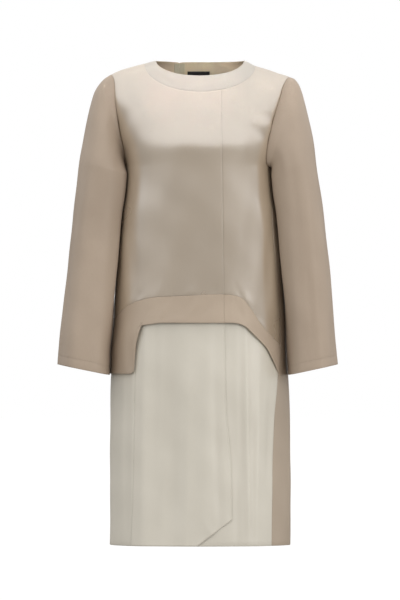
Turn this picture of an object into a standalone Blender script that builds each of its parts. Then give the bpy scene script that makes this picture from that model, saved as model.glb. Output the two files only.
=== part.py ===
"""Layered tunic top in satin, open and filled out as worn, with nobody in it.

Metres, +Z up. The origin is the middle of the neck at the height of its shoulder points.
The front faces -Y. Left and right are the wearer's: the left sleeve is at +X.

Every cloth panel lies on one worn form, a stack of rounded sections. A place on the form is
an angle round it and a height: 0 degrees is the middle of the front, 90 the wearer's left
side, 180 the middle of the back, and -90 or 270 the right side.
"""

import math
from collections import namedtuple

import bmesh
import bpy
from mathutils import Matrix, Vector

# Cloth
WALL = 0.0015  # thickness of the satin
SEAM_GAP = 0.0003  # between two pieces at a seam
EDGE_PULL = 0.0002  # each piece stops this far short of its seam line
LAYER_GAP = 0.0014  # air between loose layers

# Neck
NECK_HALF = 0.0925  # half width of the neck opening
NECK_DROP_FRONT = 0.034
NECK_DROP_BACK = 0.001
BAND_HALF = 0.117  # half width of the neckband's seam
BAND_DROP_FRONT = 0.068
BAND_DROP_BACK = 0.033
NECK_RISE = 0.016  # the form goes on rising inside the neck opening, so that it has no kink there
NECK_LIFT = 0.019  # how much further the back stands up round the neck

# Shoulder
SHOULDER_ROUND = 0.24  # height over which the form rounds out from the shoulder line
SHOULDER_POWER = 0.46
TIP_HALF = 0.188  # neck middle to the top of the armhole
SQUARE = 0.023  # squareness of the sections

# Lengths, as heights below the neck
UNDERARM = -0.225
FRONT_SEAM_X = (0.044, 0.050)  # the upright front seam, at its top and at the band
BACK_SEAM_X = -0.044  # the back seam, with the zip in its top
TAIL = -0.660  # lowest edge of the front overlay
HEM = -1.0206
TUCK = WALL + LAYER_GAP  # how far the skirt lies inside the bodice where it is sewn in
UNDERLAP = WALL + LAYER_GAP  # how far the under panel lies inside the over panel
UNDER_EDGE_X = -0.040  # the under panel's edge, inside the over panel
FLARE = 0.006  # how far the overlay's hem stands off the skirt
FLARE_HELD = 0.002  # the same beside a side seam
FLARE_DROP = 0.075  # height over which the overlay swings out, below the band seam
RIGHT_HOLD = 40  # angle over which the flare grows from the right side seam
LEFT_HOLD = 12
SEAM_EASE = 0.05  # the right side seam finds its line over this height below the underarm
SKIRT_LEAVES = -0.56  # the skirt comes out to the form below this height,
SKIRT_SETTLES = 0.14  # over this drop
UNDER_STARTS = 2  # the under panel comes out from this angle past the wrap's edge,
UNDER_SETTLES = 9  # over this one

# Zip and label
ZIP_LENGTH = 0.200
TAPE_WIDTH = 0.011
TAPE_WALL = 0.001
TAPE_GAP = 0.0005
LABEL_X = (-0.027, 0.021)
LABEL_Z = (-0.0195, -0.0385)
LABEL_WALL = 0.0010
LABEL_GAP = 0.0008  # the label's middle stands this far off the cloth it is sewn to
SLIDER_Z = -0.013
SLIDER_LENGTH = 0.0090
SLIDER_WIDTH = 0.0040
SLIDER_WINDOW = 0.0060
SLIDER_FOOT = 0.0004  # gap between the slider and the cloth
SLIDER_BRIDGE = 0.0012
SLIDER_GAP = 0.0013  # from the hinge's line to the slider, all round
PIVOT_OUT = 0.0029  # height of the pull's hinge line over the cloth
PULL_LENGTH = 0.0220
PULL_WIDTH = 0.0074
PULL_WALL = 0.0010
PULL_BAR = 0.0012
PULL_HOLE_WIDTH = 0.0048
PULL_HOLE_LENGTH = 0.0052
PULL_TAPER = ((0.85, 0.80), (0.15, 0.55))  # share of its lower length, narrowing at its end

# Samples: how many steps a panel has along each stretch
ARMHOLE_STEPS = 10
SIDE_STEPS = 7
SKIRT_STEPS = 6
SHOULDER_STEPS = 4
BAND_ROWS = 2
UPRIGHT_SHARE = 0.12  # an upright stretch of the overlay's hem counts for this share of its length
BOW_REACH = 0.6  # a side edge's bow dies away more quickly, the slighter it is for the panel's width,
BOW_FADES = (3, 40)  # between these powers
LEVEL_TOP = 0.6  # share of the top edge's spacing in the row that is level with the underarm
NECK_STEPS = {"front_main": 14, "front_side": 8, "back_main": 10, "back_side": 5}
SKIRT_ACROSS = {"side": 6, "over": 14, "under": 14}
LABEL_STEPS = (6, 3)
WIDEST_STEPS = 3  # steps of the front's lower edges that are spaced by angle, round the side

Section = namedtuple("Section", "z right left front back")
SECTIONS = (  # half widths to the right and left, depths to the front and back
    Section(-1.021, 0.190, 0.190, 0.122, 0.122),
    Section(-0.750, 0.189, 0.190, 0.120, 0.118),
    Section(-0.660, 0.188, 0.186, 0.120, 0.114),
    Section(-0.505, 0.181, 0.179, 0.121, 0.106),
    Section(-0.380, 0.173, 0.171, 0.124, 0.102),
    Section(-0.327, 0.168, 0.166, 0.126, 0.103),
    Section(-0.274, 0.160, 0.158, 0.127, 0.105),
    Section(-0.225, 0.157, 0.155, 0.127, 0.107),
    Section(-0.192, 0.163, 0.163, 0.127, 0.108),
    Section(-0.154, 0.176, 0.175, 0.126, 0.109),
    Section(-0.110, 0.188, 0.187, 0.125, 0.110),
    Section(-0.070, 0.195, 0.195, 0.124, 0.112),
    Section(0.000, 0.196, 0.196, 0.124, 0.114),
)

Shoulder = namedtuple("Shoulder", "x right left")
SHOULDERS = (  # height of the shoulder line on each side, x from the middle outwards
    Shoulder(-NECK_HALF, 0.0000, 0.0000),
    Shoulder(0.0, NECK_RISE, NECK_RISE),
    Shoulder(NECK_HALF, 0.0000, 0.0000),
    Shoulder(BAND_HALF, -0.0066, -0.0107),
    Shoulder(0.140, -0.0125, -0.0183),
    Shoulder(0.165, -0.0195, -0.0270),
    Shoulder(TIP_HALF, -0.0295, -0.0345),
    Shoulder(0.205, -0.0390, -0.0460),
)

Armhole = namedtuple("Armhole", "sign half_depth low_y sleeve_y cuff_y")
ARMHOLES = {  # y of the armhole's lowest point, and of the sleeve's middle at its top and cuff
    "right": Armhole(-1, 0.045, 0.005, -0.020, -0.042),
    "left": Armhole(1, 0.040, -0.050, -0.036, -0.045),
}

Seam = namedtuple("Seam", "z x")
LEFT_SEAM = (  # the left side seam, which runs down the front of the side
    Seam(HEM, 0.153),
    Seam(-0.862, 0.154),
    Seam(-0.757, 0.1575),
    Seam(TAIL, 0.166),
    Seam(-0.600, 0.170),
    Seam(-0.484, 0.164),
    Seam(-0.379, 0.155),
    Seam(-0.274, 0.149),
)
RIGHT_SEAM_ANGLE = (-92.0, -98.0)  # the right side seam at the underarm and at the hem

BandSeam = namedtuple("BandSeam", "x z")
BAND_SEAM = (  # where the overlay's shaped hem band is joined on
    BandSeam(-0.181, -0.543),
    BandSeam(-0.151, -0.516),
    BandSeam(-0.126, -0.506),
    BandSeam(-0.095, -0.499),
    BandSeam(-0.020, -0.4955),
    BandSeam(0.050, -0.493),
    BandSeam(0.084, -0.499),
    BandSeam(0.107, -0.524),
    BandSeam(0.130, -0.5575),
    BandSeam(0.170, -0.600),
)

Corner = namedtuple("Corner", "x z radius")
HEM_MAIN = (  # lower edge of the band: the square tail, then the level stretch
    Corner(-0.1365, TAIL, 0.012),
    Corner(-0.1295, -0.560, 0.010),
    Corner(-0.084, -0.553, 0.060),
)
HEM_SIDE = (  # lower edge of the band beyond the front seam: the slanting tail
    Corner(0.087, -0.553, 0.050),
    Corner(0.140, -0.606, 0.080),
)

SkirtSeam = namedtuple("SkirtSeam", "z x")
SIDE_PANEL_SEAM = (SkirtSeam(-1.021, -0.145), SkirtSeam(-0.840, -0.1386), SkirtSeam(-0.500, -0.135))
WRAP_EDGE = (
    SkirtSeam(-0.965, 0.067),
    SkirtSeam(-0.860, 0.065),
    SkirtSeam(-0.710, 0.0535),
    SkirtSeam(-0.480, 0.051),
)
WRAP_CORNER = (-0.006, -1.0206)  # where the slanting corner of the over panel meets the hem

Fold = namedtuple("Fold", "angle width height top bottom")
FOLDS = (  # soft folds of the form: height + is a ridge and - a trough, deepest at `bottom`
    Fold(-36, 15, 0.0022, -0.52, HEM),
    Fold(-16, 14, -0.0022, -0.50, HEM),
    Fold(6, 13, 0.0018, -0.52, HEM),
    Fold(35, 10, 0.0020, -0.56, HEM),
    Fold(50, 9, -0.0028, -0.60, HEM),
    Fold(-62, 12, -0.0018, -0.24, TAIL),
    Fold(58, 10, -0.0018, -0.24, TAIL),
    Fold(80, 8, 0.0025, -0.62, HEM),
    Fold(112, 14, -0.0045, -0.36, HEM),
    Fold(140, 15, 0.0045, -0.30, HEM),
    Fold(166, 14, -0.0040, -0.34, HEM),
    Fold(196, 14, 0.0040, -0.30, HEM),
    Fold(224, 15, -0.0045, -0.34, HEM),
    Fold(250, 12, 0.0035, -0.40, HEM),
)

Ring = namedtuple("Ring", "right_x left_x outer_z inner_z half_depth")
SLEEVE_RINGS = (  # outermost point of each ring, its height, and the height next to the body
    Ring(0.2020, 0.1985, -0.0390, -0.2270, 0.046),
    Ring(0.2120, 0.2075, -0.0500, -0.2290, 0.048),
    Ring(0.2230, 0.2150, -0.0680, -0.2310, 0.051),
    Ring(0.2315, 0.2225, -0.0950, -0.2330, 0.054),
    Ring(0.2390, 0.2305, -0.1300, -0.2350, 0.057),
    Ring(0.2470, 0.2380, -0.1700, -0.2375, 0.060),
    Ring(0.2540, 0.2436, -0.2110, -0.2420, 0.062),
    Ring(0.2625, 0.2550, -0.2850, -0.3050, 0.064),
    Ring(0.2730, 0.2667, -0.3870, -0.4080, 0.065),
    Ring(0.2820, 0.2750, -0.4750, -0.4970, 0.065),
    Ring(0.2905, 0.2805, -0.5500, -0.5720, 0.066),
    Ring(0.2980, 0.2880, -0.6405, -0.6625, 0.067),
)
CAP_RINGS = 7  # rings that fan round the underarm before the sleeve hangs straight
SLEEVE_LEAN = 0.0105  # how far the inner front of a sleeve leans round the body above the elbow
SLEEVE_CLEAR = 0.0022  # from the body to the sleeve hanging beside it
NEAREST = 0.7  # the sleeve and the body come nearest at this share of the sleeve's middle y
SLEEVE_FOLD = 0.0025  # height of the sleeve's long folds at the cuff
SLEEVE_FOLDS = 5
SLEEVE_FOLD_TURN = 1.0  # turns the folds round the sleeve
METAL_BEVEL = 0.0002

COLOURS = {
    "taupe_satin": (0.418, 0.352, 0.279),
    "cream_satin": (0.552, 0.503, 0.434),
    "zip_tape": (0.440, 0.376, 0.300),
    "zip_metal": (0.430, 0.400, 0.350),
    "label_cloth": (0.006, 0.006, 0.006),
}


# ---- Curves -------------------------------------------------------------------------------


def along(xs, ys, x):
    """Smooth curve through the points (xs rising) that never overshoots, level past its ends."""
    if x <= xs[0]:
        return ys[0]
    if x >= xs[-1]:
        return ys[-1]
    slopes = [(ys[i + 1] - ys[i]) / (xs[i + 1] - xs[i]) for i in range(len(xs) - 1)]

    def tangent(i):
        if i in (0, len(slopes)):
            return slopes[min(i, len(slopes) - 1)]
        before, after = slopes[i - 1], slopes[i]
        return 0.0 if before * after <= 0 else 2 * before * after / (before + after)

    i = max(k for k in range(len(slopes)) if xs[k] <= x)
    step = xs[i + 1] - xs[i]
    t = (x - xs[i]) / step
    start = ys[i] * (1 + 2 * t) * (1 - t) ** 2 + tangent(i) * step * t * (1 - t) ** 2
    end = ys[i + 1] * (3 - 2 * t) * t**2 - tangent(i + 1) * step * (1 - t) * t**2
    return start + end


def column(table, name):
    """One column of a table of named rows."""
    return [getattr(row, name) for row in table]


def smoothstep(x):
    x = min(max(x, 0.0), 1.0)
    return x * x * (3 - 2 * x)


def solve(rising, low, high):
    """The place between low and high where a rising function passes zero."""
    for _ in range(40):
        middle = (low + high) / 2
        if rising(middle) < 0:
            low = middle
        else:
            high = middle
    return (low + high) / 2


def spaced(start, end, steps):
    return [start + (end - start) * i / steps for i in range(steps + 1)]


def fanned(start, end, steps):
    """Like spaced, but closer together near both ends, as the armhole's samples are."""
    return [start + (end - start) * (1 - math.cos(math.pi * i / steps)) / 2 for i in range(steps + 1)]


# ---- The worn form ------------------------------------------------------------------------


def across(angle):
    turn = math.radians(angle)
    return (math.sin(turn) + SQUARE * math.sin(3 * turn)) / (1 - SQUARE)


def forward(angle):
    turn = math.radians(angle)
    return (math.cos(turn) - SQUARE * math.cos(3 * turn)) / (1 - SQUARE)


def section(z, name):
    return along(column(SECTIONS, "z"), column(SECTIONS, name), z)


def on_line(table, z):
    """x at a height on a line given as a table of z and x."""
    return along(column(table, "z"), column(table, "x"), z)


def shoulder_line(x):
    name = "left" if x > 0 else "right"
    return along(column(SHOULDERS, "x"), column(SHOULDERS, name), abs(x))


def half_width(z, side):
    return section(z, "left" if side > 0 else "right")


def depth(x, z, name):
    """Depth of the form at its deepest, less where it rounds over to the shoulder line."""
    lift = NECK_LIFT * max(0.0, 1 - (x / NECK_HALF) ** 2) ** 1.5 if name == "back" else 0.0
    below = min(max(0.0, shoulder_line(x) + lift - z) / SHOULDER_ROUND, 1.0)
    return section(z, name) * (1 - (1 - below) ** 2) ** SHOULDER_POWER


def skin(angle, z):
    """Point of the form before its folds."""
    x = half_width(z, across(angle)) * across(angle)
    name = "front" if forward(angle) > 0 else "back"
    return Vector((x, -depth(x, z, name) * forward(angle), z))


def folds(angle, z):
    height = 0.0
    for fold in FOLDS:
        away = (angle - fold.angle + 180) % 360 - 180
        fade = smoothstep((fold.top - z) / (fold.top - fold.bottom))
        height += fold.height * fade * math.exp(-((away / fold.width) ** 2))
    return height


def normal(angle, z):
    """Direction straight out of the form."""
    x = skin(angle, z).x
    if abs(shoulder_line(x) - z) < 1e-6 and abs(x) >= NECK_HALF - 1e-6:
        slope = (shoulder_line(x + 0.001) - shoulder_line(x - 0.001)) / 0.002
        return Vector((-slope, 0, 1)).normalized()
    sideways = skin(angle + 0.3, z) - skin(angle - 0.3, z)
    upwards = skin(angle, z + 0.0005) - skin(angle, z - 0.0005)
    return sideways.cross(upwards).normalized()


def form(angle, z, out=0.0):
    """Point of the worn form, moved straight out of it."""
    return skin(angle, z) + normal(angle, z) * (out + folds(angle, z))


def angle_at(x, z, back=False):
    """Angle of the form at a distance x from the middle, on its front or back."""
    share = min(abs(x) / half_width(z, x), 1.0)
    angle = solve(lambda a: across(a) - share, 0.0, 90.0)
    if back:
        return 180 - angle if x > 0 else 180 + angle
    return angle if x > 0 else -angle


# ---- Seam lines, as lists of (angle, z) ---------------------------------------------------


def place(x, z, back=False):
    return Vector((angle_at(x, z, back), z))


def armhole(side, turn):
    """Place on the armhole: turn 0 is the shoulder tip, 90 its front and 180 the underarm."""
    hole = ARMHOLES[side]
    tip_z = shoulder_line(hole.sign * TIP_HALF)
    if abs(math.sin(math.radians(turn / 2))) < 1e-6:
        return place(hole.sign * TIP_HALF, tip_z)
    lowered = (1 - math.cos(math.radians(turn))) / 2
    z = tip_z + (UNDERARM - tip_z) * lowered
    y = hole.low_y * lowered - hole.half_depth * math.sin(math.radians(turn))
    angle = solve(lambda a: skin(hole.sign * a, z).y - y, 0.0, 180.0)
    return Vector((hole.sign * angle, z))


def armhole_edge(side, facing):
    """The front or back half of an armhole, from the shoulder tip to the underarm."""
    turns = spaced(0, 180 if facing == "front" else -180, ARMHOLE_STEPS)
    return [armhole(side, turn) for turn in turns]


def left_seam(z):
    """The left side seam runs from the underarm into its measured line."""
    top = armhole("left", 180).x
    x = on_line(LEFT_SEAM, z)
    blend = smoothstep((UNDERARM - z) / (UNDERARM - LEFT_SEAM[-1].z))
    return Vector((top + (angle_at(x, z) - top) * blend, z))


def right_seam(z):
    top, bottom = RIGHT_SEAM_ANGLE
    blend = (UNDERARM - z) / (UNDERARM - HEM)
    start = armhole("right", 180).x
    angle = top + (bottom - top) * blend
    return Vector((start + (angle - start) * smoothstep((UNDERARM - z) / SEAM_EASE), z))


def turned(points):
    """The same places, with the right side counted on past the back."""
    return [Vector((p.x + 360, p.y)) for p in points]


def band_seam_z(x):
    return along(column(BAND_SEAM, "x"), column(BAND_SEAM, "z"), x)


def left_band_z():
    return BAND_SEAM[-1].z


def right_band_z():
    return BAND_SEAM[0].z


def skirt_levels(top, bottom=HEM):
    """Heights down a skirt edge: steps beside the overlay's tails, then down to the hem."""
    return spaced(top, TAIL, BAND_ROWS) + spaced(TAIL, bottom, SKIRT_STEPS)[1:]


def side_levels(bottom):
    return spaced(UNDERARM, bottom, SIDE_STEPS)[1:]


def neck_point(half, drop, turn, back):
    """Place on the neck edge or on the band seam: turn -90 is the right shoulder, 90 the left."""
    x = half * math.sin(math.radians(turn))
    end = shoulder_line(math.copysign(half, x)) if half > NECK_HALF else 0.0
    z = end - (drop + end) * math.cos(math.radians(turn))
    if abs(turn) == 90:
        z = end
    return place(x, z, back)


def turn_at(half, x):
    return math.degrees(math.asin(x / half))


def neck_edge(start_x, end_x, steps, back=False):
    drop = NECK_DROP_BACK if back else NECK_DROP_FRONT
    turns = spaced(turn_at(NECK_HALF, start_x), turn_at(NECK_HALF, end_x), steps)
    return [neck_point(NECK_HALF, drop, turn, back) for turn in turns]


def neck_seam(start_x, end_x, steps, back=False):
    drop = BAND_DROP_BACK if back else BAND_DROP_FRONT
    turns = spaced(turn_at(BAND_HALF, start_x), turn_at(BAND_HALF, end_x), steps)
    return [neck_point(BAND_HALF, drop, turn, back) for turn in turns]


def shoulder_edge(start_x, end_x, steps=SHOULDER_STEPS, back=False):
    """Along the shoulder seam, between two distances from the middle."""
    return [place(x, shoulder_line(x), back) for x in spaced(start_x, end_x, steps)]


def rounded(start, corners, end):
    """Outline from start to end, with each corner rounded by an arc of its radius."""
    path = [Vector(start)]
    points = [Vector(start)] + [Vector((c.x, c.z)) for c in corners] + [Vector(end)]
    for i, corner in enumerate(corners, 1):
        into = (points[i] - points[i - 1]).normalized()
        away = (points[i + 1] - points[i]).normalized()
        bend = into.angle(away)
        cut = corner.radius * math.tan(bend / 2)
        begin, finish = points[i] - into * cut, points[i] + away * cut
        for k in range(9):
            t = k / 8
            path.append(begin * (1 - t) ** 2 + points[i] * 2 * t * (1 - t) + finish * t**2)
    return path + [Vector(end)]


def resampled(path, steps):
    """Points spaced along an outline, closer together where it is level than where it is upright."""
    lengths = [0.0]
    for a, b in zip(path, path[1:]):
        lengths.append(lengths[-1] + math.hypot(b.x - a.x, UPRIGHT_SHARE * (b.y - a.y)))
    found = []
    for want in spaced(0.0, lengths[-1], steps):
        i = max(k for k in range(len(path) - 1) if lengths[k] <= want + 1e-12)
        step = lengths[i + 1] - lengths[i]
        found.append(path[i].lerp(path[i + 1], (want - lengths[i]) / step))
    return found


# ---- Cloth walls --------------------------------------------------------------------------


def shares(edge, axis):
    """How far along an edge each of its places lies, from 0 to 1."""
    return [(p[axis] - edge[0][axis]) / (edge[-1][axis] - edge[0][axis]) for p in edge]


def bows(edge):
    """How far each place of a side edge lies to the side of the straight line to its end."""
    return [p - edge[0].lerp(edge[-1], share) for p, share in zip(edge, shares(edge, 1))]


def fades(bows_of_edge, width):
    """How quickly each bow of a side edge dies away: a deep one reaches further into the panel."""
    least, most = BOW_FADES
    return [min(max(BOW_REACH * width / max(abs(bow.x), 0.001), least), most) for bow in bows_of_edge]


def patch(top, bottom, right, left):
    """Grid of places between four edges: rows run down, columns run from right to left."""
    top_shares, bottom_shares = shares(top, 0), shares(bottom, 0)
    right_shares, left_shares = shares(right, 1), shares(left, 1)
    right_bows, left_bows = bows(right), bows(left)
    width = abs(top[-1].x - top[0].x)
    right_fades, left_fades = fades(right_bows, width), fades(left_bows, width)
    grid = []
    for i in range(len(right)):
        middle = (right_shares[i] + left_shares[i]) / 2
        row = []
        for j in range(len(top)):
            u = top_shares[j] + (bottom_shares[j] - top_shares[j]) * middle
            v = right_shares[i] + (left_shares[i] - right_shares[i]) * u
            bow = right_bows[i] * (1 - u) ** right_fades[i] + left_bows[i] * u ** left_fades[i]
            row.append(top[j].lerp(bottom[j], v) + bow)
        grid.append(row)
    return grid


def body_patch(top, bottom, right, left):
    """The same for a panel that reaches past the underarm, with one row level with it."""
    at = ARMHOLE_STEPS
    level = []
    for upper, lower in zip(shares(top, 0), shares(bottom, 0)):
        share = LEVEL_TOP * upper + (1 - LEVEL_TOP) * lower
        level.append(Vector((right[at].x + (left[at].x - right[at].x) * share, UNDERARM)))
    above = patch(top, level, right[: at + 1], left[: at + 1])
    return above[:-1] + patch(level, bottom, right[at:], left[at:])


def pulled_in(grid, closed=False):
    """Moves the outer rows and columns of a grid of points off their seam lines."""
    rows = [[p.copy() for p in row] for row in grid]

    def pull(to, edge, inner):
        to += (inner - edge).normalized() * EDGE_PULL

    for j in range(len(grid[0])):
        pull(rows[0][j], grid[0][j], grid[1][j])
        pull(rows[-1][j], grid[-1][j], grid[-2][j])
    if not closed:
        for i in range(len(grid)):
            pull(rows[i][0], grid[i][0], grid[i][1])
            pull(rows[i][-1], grid[i][-1], grid[i][-2])
    return rows


def cloth(name, material, outer, inner, closed=False):
    """One closed wall between two grids of points, closed on itself if it is a tube."""
    bm = bmesh.new()
    skins = [[[bm.verts.new(p) for p in row] for row in grid] for grid in (outer, inner)]
    rows, columns = len(outer), len(outer[0])
    last = columns if closed else columns - 1
    for i in range(rows - 1):
        for j in range(last):
            k = (j + 1) % columns
            for flip, verts in enumerate(skins):
                quad = [verts[i][j], verts[i + 1][j], verts[i + 1][k], verts[i][k]]
                bm.faces.new(quad[::-1] if flip else quad)
    rim = [((0, j), (0, (j + 1) % columns)) for j in range(last)]
    rim += [((rows - 1, (j + 1) % columns), (rows - 1, j)) for j in range(last)]
    if not closed:
        rim += [((i + 1, 0), (i, 0)) for i in range(rows - 1)]
        rim += [((i, columns - 1), (i + 1, columns - 1)) for i in range(rows - 1)]
    for (a, b), (c, d) in rim:
        bm.faces.new([skins[0][a][b], skins[0][c][d], skins[1][c][d], skins[1][a][b]])
    bmesh.ops.recalc_face_normals(bm, faces=bm.faces)
    return finished(name, material, bm)


def finished(name, material, bm):
    mesh = bpy.data.meshes.new(name)
    bm.to_mesh(mesh)
    bm.free()
    mesh.shade_smooth()
    mesh.set_sharp_from_angle(angle=math.radians(40))
    mesh.materials.append(bpy.data.materials[material])
    made = bpy.data.objects.new(name, mesh)
    bpy.context.collection.objects.link(made)
    return made


def panel(name, material, grid, out=lambda angle, z: 0.0, wall=WALL):
    """A panel of cloth on the form, its outer face moved out by out(angle, z)."""
    outer = [[form(p.x, p.y, out(p.x, p.y)) for p in row] for row in grid]
    inner = [[form(p.x, p.y, out(p.x, p.y) - wall) for p in row] for row in grid]
    return cloth(name, material, pulled_in(outer), pulled_in(inner))


def overlay_out(angle, z):
    """The overlay swings out below its band seam, less at the side seams that hold it."""
    x = skin(angle, z).x
    swing = smoothstep((band_seam_z(x) - z) / FLARE_DROP)
    freed = smoothstep((angle - right_seam(z).x) / RIGHT_HOLD)
    freed *= smoothstep((left_seam(z).x - angle) / LEFT_HOLD)
    return swing * (FLARE_HELD + (FLARE - FLARE_HELD) * freed)


def skirt_out(angle, z):
    """The skirt hangs inside the bodice at its top and comes out to the form below it."""
    return -TUCK * (1 - smoothstep((SKIRT_LEAVES - z) / SKIRT_SETTLES))


def under_out(angle, z):
    """The under panel also lies one layer inside the over panel."""
    past = angle - angle_at(on_line(WRAP_EDGE, z), z) - UNDER_STARTS
    return skirt_out(angle, z) - UNDERLAP * (1 - smoothstep(past / UNDER_SETTLES))


# ---- Panels -------------------------------------------------------------------------------


def front_seam():
    """The upright seam between the two front panels, from the neckband to the band seam."""
    top = neck_point(BAND_HALF, BAND_DROP_FRONT, turn_at(BAND_HALF, FRONT_SEAM_X[0]), False)
    bottom = band_seam_z(FRONT_SEAM_X[1])
    heights = fanned(top.y, UNDERARM, ARMHOLE_STEPS) + side_levels(bottom)
    return [place(FRONT_SEAM_X[0] + (FRONT_SEAM_X[1] - FRONT_SEAM_X[0]) * (top.y - z) / (top.y - bottom), z)
            for z in heights]


def band_line(start_x, end_x, steps):
    """Along the band seam."""
    return [place(x, band_seam_z(x)) for x in spaced(start_x, end_x, steps)]


def band_line_main():
    """The main front's part of the band seam, from the side seam just past the widest line."""
    steps = SHOULDER_STEPS + NECK_STEPS["front_main"]
    line = band_line(BAND_SEAM[0].x, FRONT_SEAM_X[1], steps)
    start = right_seam(right_band_z())
    for k in range(WIDEST_STEPS):
        line[k] = start.lerp(line[WIDEST_STEPS], k / WIDEST_STEPS)
        line[k].y = band_seam_z(skin(line[k].x, line[k].y).x) if k else start.y
    return line


def band_line_side():
    steps = SHOULDER_STEPS + NECK_STEPS["front_side"]
    line = band_line(FRONT_SEAM_X[1], BAND_SEAM[-1].x, steps)
    line[-1] = left_seam(left_band_z())
    return line


def make_bodice():
    seam = front_seam()
    right = armhole_edge("right", "front") + [right_seam(z) for z in side_levels(right_band_z())]
    left = armhole_edge("left", "front") + [left_seam(z) for z in side_levels(left_band_z())]
    top_main = shoulder_edge(-TIP_HALF, -BAND_HALF)[:-1] + neck_seam(
        -BAND_HALF, FRONT_SEAM_X[0], NECK_STEPS["front_main"])
    top_side = neck_seam(FRONT_SEAM_X[0], BAND_HALF, NECK_STEPS["front_side"])[:-1] + shoulder_edge(
        BAND_HALF, TIP_HALF)
    main = body_patch(top_main, band_line_main(), right, seam)
    side = body_patch(top_side, band_line_side(), seam, left)
    panel("bodice_front_main", "taupe_satin", main)
    panel("bodice_front_side", "taupe_satin", side)


def make_hem_bands():
    """The overlay's shaped hem: a square tail on the right and a pointed one on the left."""
    seam_x = FRONT_SEAM_X[1]
    steps_main = SHOULDER_STEPS + NECK_STEPS["front_main"]
    steps_side = SHOULDER_STEPS + NECK_STEPS["front_side"]
    level = HEM_MAIN[-1].z
    seam = [place(seam_x, z) for z in spaced(band_seam_z(seam_x), level, BAND_ROWS)]
    right = [right_seam(z) for z in spaced(right_band_z(), TAIL, BAND_ROWS)]
    left = [left_seam(z) for z in spaced(left_band_z(), TAIL, BAND_ROWS)]

    corner = right_seam(TAIL)
    outline = rounded((skin(corner.x, TAIL).x, TAIL), HEM_MAIN, (seam_x, level))
    lower_main = [place(p.x, p.y) for p in resampled(outline, steps_main)]
    for k in range(WIDEST_STEPS):
        lower_main[k] = corner.lerp(lower_main[WIDEST_STEPS], k / WIDEST_STEPS)
    outline = rounded((seam_x, level), HEM_SIDE, (skin(left[-1].x, TAIL).x, TAIL))
    lower_side = [place(p.x, p.y) for p in resampled(outline, steps_side)]

    main = patch(band_line_main(), lower_main, right, seam)
    side = patch(band_line_side(), lower_side, seam, left)
    panel("hem_band_main", "taupe_satin", main, overlay_out)
    panel("hem_band_side", "taupe_satin", side, overlay_out)


def back_seam():
    """The back seam, from the neckband to the hem."""
    top = neck_point(BAND_HALF, BAND_DROP_BACK, turn_at(BAND_HALF, BACK_SEAM_X), True)
    turn = (right_band_z() + left_band_z()) / 2
    heights = fanned(top.y, UNDERARM, ARMHOLE_STEPS) + side_levels(turn) + skirt_levels(turn)[1:]
    return [place(BACK_SEAM_X, z, back=True) for z in heights]


def back_grids():
    seam = back_seam()
    left = armhole_edge("left", "back")
    left += [left_seam(z) for z in side_levels(left_band_z()) + skirt_levels(left_band_z())[1:]]
    right = armhole_edge("right", "back")
    right += [right_seam(z) for z in side_levels(right_band_z()) + skirt_levels(right_band_z())[1:]]
    right = turned(right)
    top_main = shoulder_edge(TIP_HALF, BAND_HALF, back=True)[:-1] + neck_seam(
        BAND_HALF, BACK_SEAM_X, NECK_STEPS["back_main"], back=True)
    top_side = neck_seam(BACK_SEAM_X, -BAND_HALF, NECK_STEPS["back_side"], back=True)[:-1] + shoulder_edge(
        -BAND_HALF, -TIP_HALF, back=True)
    left[0], right[0] = top_main[0], top_side[-1]

    def hem(start, end, steps):
        return [Vector((angle, HEM)) for angle in spaced(start.x, end.x, steps)]

    main = body_patch(top_main, hem(left[-1], seam[-1], len(top_main) - 1), left, seam)
    side = body_patch(top_side, hem(seam[-1], right[-1], len(top_side) - 1), seam, right)
    return main, side


def neckband_grids():
    """The neckband in three pieces: the front, and the back on each side of the zip."""
    steps_front = NECK_STEPS["front_main"] + NECK_STEPS["front_side"]
    outer_front = neck_seam(-BAND_HALF, FRONT_SEAM_X[0], NECK_STEPS["front_main"])[:-1] + neck_seam(
        FRONT_SEAM_X[0], BAND_HALF, NECK_STEPS["front_side"])
    inner_front = neck_edge(-NECK_HALF, NECK_HALF, steps_front)
    rows = BAND_ROWS + 1

    def shoulder(side, back):
        return shoulder_edge(side * NECK_HALF, side * BAND_HALF, rows, back)

    def zip_end():
        top = neck_point(NECK_HALF, NECK_DROP_BACK, turn_at(NECK_HALF, BACK_SEAM_X), True)
        bottom = neck_point(BAND_HALF, BAND_DROP_BACK, turn_at(BAND_HALF, BACK_SEAM_X), True)
        return [place(BACK_SEAM_X, z, back=True) for z in spaced(top.y, bottom.y, rows)]

    steps_main, steps_side = NECK_STEPS["back_main"], NECK_STEPS["back_side"]
    front = patch(inner_front, outer_front, shoulder(-1, False), shoulder(1, False))
    main = patch(neck_edge(NECK_HALF, BACK_SEAM_X, steps_main, back=True),
                 neck_seam(BAND_HALF, BACK_SEAM_X, steps_main, back=True), shoulder(1, True), zip_end())
    side = patch(neck_edge(BACK_SEAM_X, -NECK_HALF, steps_side, back=True),
                 neck_seam(BACK_SEAM_X, -BAND_HALF, steps_side, back=True), zip_end(), shoulder(-1, True))
    return front, main, side


def make_back_and_neck():
    back_main, back_side = back_grids()
    front_band, main_band, side_band = neckband_grids()
    panel("back_main", "taupe_satin", back_main)
    panel("back_side", "taupe_satin", back_side)
    panel("neckband_front", "taupe_satin", front_band)
    panel("neckband_back_main", "taupe_satin", main_band)
    panel("neckband_back_side", "taupe_satin", side_band)
    make_zip_tape("zip_tape_main", main_band, back_main, -1)
    make_zip_tape("zip_tape_side", side_band, back_side, 0)


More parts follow.
